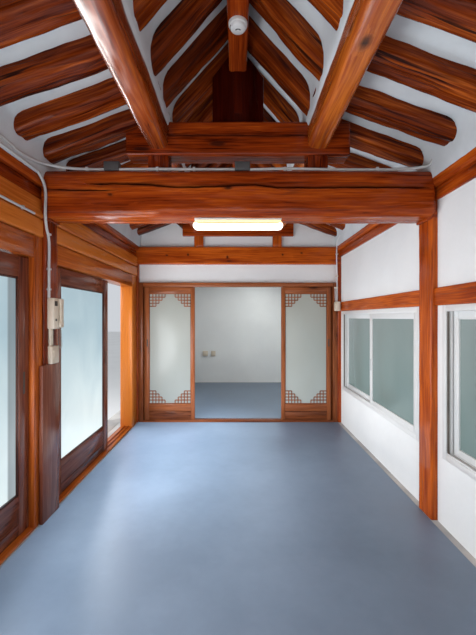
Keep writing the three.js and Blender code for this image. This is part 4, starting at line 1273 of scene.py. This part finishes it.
def tile_section():
    """Places across the tile rows: (y, height over the bed, whether a round tile is there)."""
    section = [(-ROOF_Y, 0.030, False)]
    channel = TILE_PITCH - 2 * TILE_RADIUS
    for row in range(TILE_ROWS):
        centre = tile_centre(row)
        for i in range(9):
            angle = math.pi * i / 8
            rise = 0.020 + TILE_RADIUS * math.sin(angle)
            section.append((centre - TILE_RADIUS * math.cos(angle), rise, True))
        for t in (0.25, 0.5, 0.75) if row < TILE_ROWS - 1 else ():
            dip = 0.026 - 0.020 * math.sin(math.pi * t)
            section.append((centre + TILE_RADIUS + channel * t, dip, False))
    section.append((ROOF_Y, 0.030, False))
    return section


def tile_centre(row):
    return -ROOF_Y + TILE_PITCH * (row + 0.5)


def tile_end(sheet, side, outline_yz, flip):
    """A flat closing piece over the eave, from its outline of (y, z) places."""
    points = [(side * x, y, z) for x in (EAVE_END_X - 0.016, EAVE_END_X) for y, z in outline_yz]
    sheet.add(points, loops(2, len(outline_yz), flip))


def tiles():
    courses = 12
    shares = roof_line(courses)
    section = tile_section()
    eave_z = roof_point(shares[0])[0].y
    for name, side in (("left", -1), ("right", 1)):
        sheet = Shell()
        grid = []
        for course in range(courses):
            for end in (0, 1):
                row = []
                for y, rise, is_round in section:
                    place = course + end + (0 if is_round or course + end == 0 else 0.45)
                    spot, way = roof_point(np.interp(place, range(courses + 1), shares))
                    lift = rise + (0.014 if end == 0 else 0.0)
                    lift += 0.002 * rough((y, course, side), (0.3, 0.7, 1), 5)
                    row.append((side * min(spot.x + way.y * lift, EAVE_END_X), y, spot.y - way.x * lift))
                grid.append(row)
        skin(sheet, grid, flip=side > 0)
        for row in range(TILE_ROWS):
            centre = tile_centre(row)
            turns = [math.pi * i / 12 for i in range(13)]
            reach = TILE_RADIUS * 1.04
            disc = [(centre, eave_z + 0.032)]
            disc += [(centre + reach * math.cos(t), eave_z + 0.032 + reach * math.sin(t)) for t in turns]
            tile_end(sheet, side, disc, side > 0)
            if row < TILE_ROWS - 1:
                a0, a1 = centre + TILE_RADIUS * 0.9, centre + TILE_PITCH - TILE_RADIUS * 0.9
                middle = (a0 + a1) / 2
                lip = [
                    (a0, 0.0), (a0 + 0.02, -0.035), (middle, -0.062),
                    (a1 - 0.02, -0.035), (a1, 0.0), (middle, -0.012),
                ]
                tile_end(sheet, side, [(a, eave_z + 0.036 + b) for a, b in lip], side < 0)
        piece(name + "_roof_tiles", sheet, clay_tile, smooth=42)


def ridge():
    """Flat tiles in layers under a row of round ones."""
    stack = Shell()
    layers, tall, length = 5, 0.046, 0.42
    half = ROOF_Y + 0.012
    picker = random.Random(8)
    z = RIDGE_FOOT + 0.02
    for layer in range(layers):
        y = -half
        while y < half - 0.05:
            end = min(y + length * picker.uniform(0.95, 1.05), half)
            if half - end < 0.15:
                end = half
            reach = 0.118 + 0.008 * (layer % 2) - 0.004 * layer + picker.uniform(-0.003, 0.003)
            bar(stack, (-reach, y + 0.002, z), (reach, end - 0.002, z + tall - 0.004), 0.008, 1)
            y = end
        z += tall
    bar(stack, (-0.095, -half + 0.01, RIDGE_FOOT), (0.095, half - 0.01, z), 0.01, 1)
    radius, n = 0.088, 13
    rise = RIDGE_TOP - 0.004 - z
    y = -half
    while y < half - 0.02:
        end = min(y + 0.30, half)
        points = []
        for place, grow in ((y, 1.0), (y + 0.006, 1.04), (end - 0.04, 1.0), (end, 0.93)):
            for i in range(n):
                angle = math.pi * i / (n - 1)
                points.append(
                    (radius * grow * math.cos(angle), place, z + rise * grow / 1.04 * math.sin(angle))
                )
        faces = []
        for j in range(3):
            for i in range(j * n, (j + 1) * n - 1):
                faces.append((i, i + 1, i + n + 1, i + n))
        faces.append(tuple(reversed(range(n))))
        faces.append(tuple(3 * n + i for i in range(n)))
        stack.add(points, [tuple(reversed(face)) for face in faces])
        y = end
    for sign in (-1, 1):
        ys = sorted((sign * (half + 0.008), sign * (half - 0.02)))
        bar(stack, (-0.105, ys[0], RIDGE_FOOT + 0.005), (0.105, ys[1], z + 0.02), 0.012, 2)
    piece("ridge_tiles", stack, clay_tile, ["roof_ridge"])


def verge_boards():
    """Bent boards under the tiles' edges at both gables."""
    rise = 0.1846
    bend = (
        high_under(0) - low_under(0) + rise * (math.hypot(1, HIGH_SLOPE) - math.hypot(1, LOW_SLOPE))
    ) / (HIGH_SLOPE - LOW_SLOPE)
    low_top = rise * math.hypot(1, LOW_SLOPE)
    tops = [
        (0.0, high_under(0) + rise * math.hypot(1, HIGH_SLOPE)),
        (bend, low_under(bend) + low_top), (2.24, low_under(2.24) + low_top),
    ]
    for word, sign in (("front", -1), ("back", 1)):
        wood = Shell()
        y0, y1 = sorted((sign * TIMBER_Y, sign * (TIMBER_Y + 0.035)))
        for side in (-1, 1):
            points, grain = [], []
            for y, inset in ((y0, 0.004), (y0 + 0.004, 0.0), (y1 - 0.004, 0.0), (y1, 0.004)):
                for lift in (-0.240 + inset, -inset):
                    for x, z in tops:
                        points.append((side * x, y, z + lift))
                        grain.append((x * 1.1 + side, lift, y + 0.05 * side))
            faces = [(0, 1, 4, 3), (1, 2, 5, 4), (18, 21, 22, 19), (19, 22, 23, 20)]
            for ring in (0, 6, 12):
                for a, b in ((1, 0), (2, 1), (5, 2), (4, 5), (3, 4), (0, 3)):
                    faces.append((ring + a, ring + b, ring + 6 + b, ring + 6 + a))
            if side < 0:
                faces = [tuple(reversed(face)) for face in faces]
            wood.add(points, faces, grain, -0.35)
        piece(f"{word}_verge", wood, beam_pine, [f"{word}_verge_boards"])


verge_boards()
tiles()
ridge()

# Plinth


def stone_row(picker, start, stop, shortest, longest, least):
    """Ends of the stones in a row, none of them shorter than least."""
    ends = []
    while start < stop - 0.01:
        end = start + picker.uniform(shortest, longest)
        if stop - end < least:
            end = stop
        ends.append((start + 0.003, end - 0.003))
        start = end
    return ends


def plinth():
    picker = random.Random(21)
    blocks = Shell()
    x1, y1 = 1.9, 4.3
    deep = 0.22
    for z0, z1 in ((0.0, 0.15), (0.15, 0.30)):
        for sign in (-1, 1):
            xs = sorted((sign * x1, sign * (x1 - deep)))
            ys = sorted((sign * y1, sign * (y1 - deep)))
            for a, b in stone_row(picker, -y1, y1, 0.55, 0.95, 0.4):
                bar(blocks, (xs[0], a, z0 + 0.0015), (xs[1], b, z1), 0.012, 1)
            for a, b in stone_row(picker, -x1 + deep, x1 - deep, 0.5, 0.9, 0.35):
                bar(blocks, (a, ys[0], z0 + 0.0015), (b, ys[1], z1), 0.012, 0)
    bar(blocks, (-x1 + 0.02, -y1 + 0.02, 0.0), (x1 - 0.02, y1 - 0.02, 0.294), 0.004, 1)
    for low, high, along in (
        ((-POST_OUT, -WING_OUT), (-POST_IN, WING_OUT), 1), ((POST_IN, -WING_OUT), (POST_OUT, WING_OUT), 1),
        ((-POST_IN, -WING_OUT), (POST_IN, -WING_IN), 0), ((-POST_IN, WING_IN), (POST_IN, WING_OUT), 0),
    ):
        bar(blocks, (*low, 0.29), (*high, FLOOR), 0.008, along)
    for y in FRAME_Y:
        for sign in (-1, 1):
            xs = sorted((sign * POST_IN, sign * 1.53))
            bar(blocks, (xs[0], y - 0.13, 0.30), (xs[1], y + 0.13, 0.399), 0.014, 1)
    piece("plinth_stones", blocks, granite, ["stone_plinth"])


plinth()

# Fittings


def lamp():
    tube_light, holder, seam = Shell(), Shell(), Shell()
    y, z = -1.125, 2.428
    half, radius, depth = 0.314, 0.031, 0.052
    bends = [math.pi / 2 * i / 6 for i in range(7)]
    steps = [(-half + radius - radius * math.cos(t), math.sin(t)) for t in bends]
    steps += [(half - radius + radius * math.sin(t), math.cos(t)) for t in bends]
    turns = [2 * math.pi * i / 20 for i in range(20)]
    points = []
    for x, grow in steps:
        grow = max(grow, 0.02)
        points += [(x, y + depth * grow * math.cos(t), z + radius * grow * math.sin(t)) for t in turns]
    tube_light.add(points, loops(len(steps), len(turns)))
    bar(holder, (-0.300, y - 0.042, 2.455), (0.300, y + 0.042, MAIN_POST_TOP), 0.004, 0)
    bar(seam, (-0.280, y - 0.0535, 2.4290), (0.280, y - 0.042, 2.4350), 0.001)
    piece("lamp_diffuser", tube_light, lamp_glow, ["ceiling_lamp"])
    piece("lamp_seam", seam, box_grey)
    piece("lamp_base", holder, window_white)


def detector():
    body, marks = Shell(), Shell()
    centre = (0, -1.5375, 3.490)
    turned(
        body, centre,
        [
            (0.055, 0.0), (0.055, -0.010), (0.052, -0.018), (0.047, -0.020),
            (0.045, -0.024), (0.043, -0.032), (0.036, -0.0375), (0.0, -0.038),
        ],
    )
    for i in range(9):
        angle = math.pi * (0.22 + 0.07 * i)
        x, y = 0.016 * math.cos(angle), centre[1] + 0.010 - 0.016 * math.sin(angle)
        bar(marks, (x - 0.0036, y - 0.0030, 3.4512), (x + 0.0036, y + 0.0030, 3.4530), 0.0006)
    for angle in (0.88, 0.95, 1.02, 1.09):
        x, y = 0.0447 * math.cos(math.pi * angle), centre[1] + 0.0447 * math.sin(math.pi * angle)
        bar(marks, (x - 0.003, y - 0.005, 3.4630), (x + 0.003, y + 0.005, 3.4680), 0.001)
    piece("detector_body", body, window_white, ["smoke_detector"])
    piece("detector_marks", marks, slot_black)


def conduits():
    pipe, clips, boxes = Shell(), Shell(), Shell()
    y, z, r = -1.182, 2.795, 0.0095
    left = [
        (-1.299, -3.79, 2.777), (-1.299, -2.6, 2.779), (-1.299, -1.65, 2.780),
        (-1.299, -1.52, 2.768), (-1.292, -1.33, 2.788),
    ]
    left += [
        (-1.235, -1.225, 2.802), (-1.13, -1.188, 2.800), (-1.0, -1.182, 2.796), (-0.915, -1.180, 2.797),
    ]
    tube(pipe, left, r)
    tube(
        pipe,
        [(-0.81, y, z + 0.001), (-0.55, y, z + 0.003), (-0.25, y, z + 0.001), (-0.02, y, z + 0.002)], r,
    )
    tube(
        pipe,
        [
            (0.08, y, z), (0.35, y, z + 0.006), (0.6, y, z + 0.001),
            (0.9, y, z - 0.001), (1.10, y - 0.004, z), (1.24, -1.205, z + 0.006),
            (1.290, -1.215, z + 0.020), (1.303, -1.232, z + 0.048),
        ],
        r,
    )
    for x in (-1.03, -0.55, -0.30, 0.32, 0.62, 0.95):
        bar(
            clips, (x - 0.009, y - r - 0.0025, z - 0.011),
            (x + 0.009, y + r + 0.004, z + r + 0.005), 0.003, 1,
        )
    for x in (-0.86, 0.03):
        bar(boxes, (x - 0.052, -1.200, 2.785), (x + 0.052, -1.150, 2.845), 0.004, 0)
        bar(boxes, (x - 0.048, -1.203, 2.789), (x + 0.048, -1.199, 2.841), 0.0015, 0)
        for dx in (-0.040, 0.040):
            turned(
                boxes, (x + dx, -1.203, 2.796),
                [(0.0035, 0.0), (0.0035, -0.001), (0.002, -0.0016)], axis=1, sides=10,
            )
    piece("beam_conduit_pipe", pipe, pipe_grey, ["beam_conduit"])
    piece("beam_conduit_clips", clips, pipe_grey)
    piece("beam_conduit_boxes", boxes, box_grey)
    down, down_clips = Shell(), Shell()
    tube(
        down,
        [
            (-1.299, -3.79, 2.735), (-1.299, -2.6, 2.735), (-1.299, -1.42, 2.735), (-1.295, -1.29, 2.720),
            (-1.287, -1.233, 2.640), (-1.287, -1.233, 2.480), (-1.306, -1.185, 2.400),
            (-1.308, -1.150, 2.310), (-1.308, -1.150, 2.100), (-1.308, -1.150, 1.922),
        ],
        0.009,
    )
    for zc in (2.36, 2.12, 1.98):
        bar(down_clips, (-1.318, -1.164, zc - 0.007), (-1.2965, -1.136, zc + 0.007), 0.003, 1)
    for yc in (-3.4, -2.8, -2.2, -1.7):
        bar(down_clips, (-1.311, yc - 0.007, 2.7225), (-1.2885, yc + 0.007, 2.7475), 0.003, 2)
    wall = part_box("left_lintel_1")[1].x
    tube(
        down, [(wall + 0.007, -3.78, 2.462), (wall + 0.007, -2.4, 2.463), (wall + 0.007, -1.30, 2.461)],
        0.0075, bends=1,
    )
    for yc in (-3.2, -2.5, -1.9, -1.42):
        bar(down_clips, (wall - 0.002, yc - 0.007, 2.4505), (wall + 0.016, yc + 0.007, 2.4735), 0.003, 2)
    piece("post_conduit_pipe", down, pipe_grey, ["post_conduit"])
    piece("post_conduit_clips", down_clips, pipe_grey)


def corner_wiring():
    """The pale conduit in the far right corner of the living room, and the small box that it ends in."""
    pipe, box = Shell(), Shell()
    x, y = 1.301, 1.002
    tube(
        pipe,
        [
            (x - 0.002, y - 0.16, 2.830), (x, y - 0.05, 2.800), (x, y, 2.740),
            (x - 0.003, y, 2.56), (x + 0.003, y, 2.36), (x + 0.002, y, 2.18), (x, y, 1.985),
        ],
        0.0075,
    )
    tube(
        pipe, [(x - 0.020, y + 0.004, 2.172), (x - 0.021, y + 0.004, 2.08), (x - 0.019, y + 0.002, 1.985)],
        0.0045, sides=8,
    )
    bar(box, (1.262, 0.895, 1.870), (1.3175, 0.992, 1.990), 0.006, 2)
    bar(box, (1.259, 0.903, 1.878), (1.263, 0.984, 1.982), 0.002, 2)
    bar(box, (1.268, 0.992, 2.168), (1.312, 1.0175, 2.186), 0.003, 0)
    for z in (2.62, 2.33):
        bar(box, (x - 0.014, y - 0.010, z - 0.008), (x + 0.0165, y + 0.0155, z + 0.008), 0.003, 0)
    piece("corner_conduit_pipe", pipe, pipe_white)
    piece("corner_conduit_box", box, ivory)
    plates = Shell()
    for x0, x1 in ((-0.752, -0.640), (-0.572, -0.480)):
        bar(plates, (x0, WING_IN - 0.009, 0.962), (x1, WING_IN + 0.002, 1.072), 0.003, 2)
        bar(plates, (x0 + 0.022, WING_IN - 0.013, 0.985), (x1 - 0.022, WING_IN - 0.008, 1.049), 0.0015, 2)
    piece("bedroom_plates", plates, ivory)


def handset_cord():
    """The curled cord that hangs in a loop from the handset and goes up into the phone."""
    drop = smooth_path([
        (-1.267, -1.071, 1.714), (-1.267, -1.071, 1.690), (-1.265, -1.070, 1.640), (-1.263, -1.068, 1.600),
        (-1.266, -1.066, 1.577), (-1.276, -1.064, 1.568), (-1.287, -1.061, 1.586),
        (-1.294, -1.059, 1.625), (-1.297, -1.058, 1.670), (-1.297, -1.058, 1.706),
    ], 12)
    run = [0.0]
    for a, b in zip(drop, drop[1:]):
        run.append(run[-1] + (b - a).length)
    turns = round(run[-1] / 0.0100)
    dense = []
    side = Vector((0.0, 1.0, 0.0))
    for j in range(turns * 16 + 1):
        share = j / (turns * 16)
        k = min(int(np.searchsorted(run, share * run[-1], side="right")) - 1, len(drop) - 2)
        spot = drop[k].lerp(drop[k + 1], (share * run[-1] - run[k]) / (run[k + 1] - run[k]))
        ahead = (drop[k + 1] - drop[k]).normalized()
        side = (side - ahead * side.dot(ahead)).normalized()
        angle = 2 * math.pi * turns * share
        reach = 0.0050 * min(1.0, 12 * share, 12 * (1 - share))
        dense.append(spot + (side * math.cos(angle) + ahead.cross(side) * math.sin(angle)) * reach)
    cable = Shell()
    tube(cable, dense, 0.0011, sides=8, bends=1)
    made = piece("wall_phone_cord", cable, cord_grey)


def wall_phone():
    shell, dark = Shell(), Shell()
    face = -POST_IN
    for low, high, bevel in (
        ((face, -1.158, 1.705), (-1.268, -1.090, 1.921), 0.007),
        ((face, -1.096, 1.705), (-1.280, -1.040, 1.921), 0.007),
        ((-1.283, -1.094, 1.712), (-1.2515, -1.048, 1.758), 0.010),
        ((-1.283, -1.094, 1.868), (-1.2515, -1.048, 1.918), 0.010),
        ((-1.274, -1.090, 1.735), (-1.2525, -1.052, 1.895), 0.010),
        ((face, -1.140, 1.570), (-1.300, -1.108, 1.715), 0.003),
        ((face, -1.152, 1.462), (-1.2835, -1.060, 1.585), 0.005),
        ((-1.2850, -1.135, 1.495), (-1.2795, -1.077, 1.552), 0.003),
    ):
        bar(shell, low, high, bevel, 2)
    bar(dark, (-1.2690, -1.150, 1.865), (-1.2672, -1.112, 1.900), 0.0006)
    bar(dark, (-1.2690, -1.141, 1.760), (-1.2672, -1.121, 1.776), 0.0006)
    piece("wall_phone_shell", shell, ivory, ["intercom"])
    piece("wall_phone_marks", dark, slot_black)


lamp()
detector()
conduits()
corner_wiring()
handset_cord()
wall_phone()

# Finishes of the carried-over solids

carried = {
    "floor_slab": cool_daylit_screed,
    "left_ceiling": shaded_infill_plaster,
    "right_ceiling": shaded_infill_plaster,
    "left_roof": roof_clay,
    "right_roof": roof_clay,
}
for name in (
    "partition_head_panel", "partition_plaster", "front_gable_wall", "back_gable_wall",
    "left_wall_3", "right_wall_1", "right_wall_2", "right_wall_3",
):
    carried[name] = lime_plaster
for name, material in carried.items():
    slots = cad[name].material_slots
    for number in range(len(slots)):
        slots[number].material = material

# Floor, light and camera


def stage():
    mesh = bpy.data.meshes.new("ground")
    mesh.from_pydata([(-40, -40, 0), (40, -40, 0), (40, 40, 0), (-40, 40, 0)], [], [(0, 1, 2, 3)])
    ground = bpy.data.objects.new("ground", mesh)
    bpy.context.scene.collection.objects.link(ground)
    ground.data.materials.append(
        plain("pale_ground", (0.74, 0.74, 0.73), (0.70, 0.70, 0.69), 0.6, 20.0, 0.8, 0.05)
    )


def area_light(name, place, target, size, size_y, power, colour):
    data = bpy.data.lights.new(name, "AREA")
    data.shape = "RECTANGLE"
    data.size, data.size_y = size, size_y
    data.energy = power
    data.color = colour
    lit = bpy.data.objects.new(name, data)
    lit.location = place
    lit.rotation_euler = (Vector(target) - Vector(place)).to_track_quat("-Z", "Y").to_euler()
    lit.visible_camera = False
    bpy.context.scene.collection.objects.link(lit)
    return lit


def lights():
    world = bpy.data.worlds.new("studio")
    world.use_nodes = True
    world.node_tree.nodes["Background"].inputs["Color"].default_value = (0.90, 0.94, 1.0, 1)
    world.node_tree.nodes["Background"].inputs["Strength"].default_value = 0.68
    bpy.context.scene.world = world
    cool, warm = (0.93, 0.965, 1.0), (1.0, 0.90, 0.76)
    area_light("garden_side", (-5.5, -1.0, 3.2), (-1.0, -1.2, 1.2), 6.0, 3.5, 470, cool)
    area_light("sky_front", (3.5, -9.0, 7.5), (0, 0, 1.5), 6.0, 5.0, 830, (1, 0.98, 0.95))
    area_light("left_doors", (-1.27, -2.15, 1.40), (0.6, -1.7, 1.7), 1.3, 1.3, 34, cool)
    area_light("left_doors_far", (-1.24, -0.35, 1.35), (0.6, 0.0, 1.5), 1.5, 1.3, 33, cool)
    area_light("room_bounce", (0.2, -2.6, 0.50), (0.2, -1.8, 3.0), 2.0, 2.2, 9.5, (1.0, 0.97, 0.95))
    area_light("room_bounce_far", (0.1, 0.0, 0.50), (0.1, 0.2, 3.0), 2.0, 1.6, 8, (1.0, 0.96, 0.91))
    area_light("bedroom_day", (0.6, 2.4, 2.35), (0.0, 2.8, 0.6), 1.6, 1.6, 26, (0.96, 1.0, 0.97))
    area_light("lamp_pool", (0.0, -1.10, 2.378), (0.0, -1.10, 0.0), 0.60, 0.08, 5, warm)
    area_light("behind", (0.0, -3.75, 2.0), (0.0, 0.0, 1.8), 2.2, 1.0, 11, (1, 0.98, 0.96))
    for word, place, height, power in (
        ("left", (-1.29, -1.35, 2.48), 1.0, 78), ("right", (-1.28, 0.15, 2.12), 0.13, 11),
    ):
        receiver = bpy.data.collections.new(word + "_purlin_sheen")
        receiver.objects.link(bpy.data.objects[word + "_middle_purlin_hewn"])
        sheen = area_light(
            word + "_sheen", place, (0, place[1], place[2]), 1.6, height, power, (1, 0.98, 0.95),
        )
        sheen.visible_diffuse = False
        sheen.light_linking.receiver_collection = receiver
    floor = bpy.data.collections.new("floor_daylight")
    floor.objects.link(cad["floor_slab"])
    for word, place, power in (("near", (-1.05, -2.2, 1.7), 9), ("far", (-0.70, 0.2, 1.7), 40)):
        daylight = area_light(
            "floor_daylight_" + word, place, (place[0], place[1], 0), 0.5, 2.6, power, (0.80, 0.92, 1.0),
        )
        daylight.data.spread = 2.1
        daylight.visible_glossy = False
        daylight.light_linking.receiver_collection = floor


def camera():
    data = bpy.data.cameras.new("room_view")
    data.lens = 19.56
    data.sensor_width = 36
    data.clip_start = 0.05
    data.clip_end = 200
    seen = bpy.data.objects.new("room_view", data)
    seen.location = (0.0, -3.5375, 1.785)
    seen.rotation_euler = (math.radians(90), 0, 0)
    bpy.context.scene.collection.objects.link(seen)
    bpy.context.scene.camera = seen


stage()
lights()
camera()
bpy.context.scene.view_settings.view_transform = "Standard"
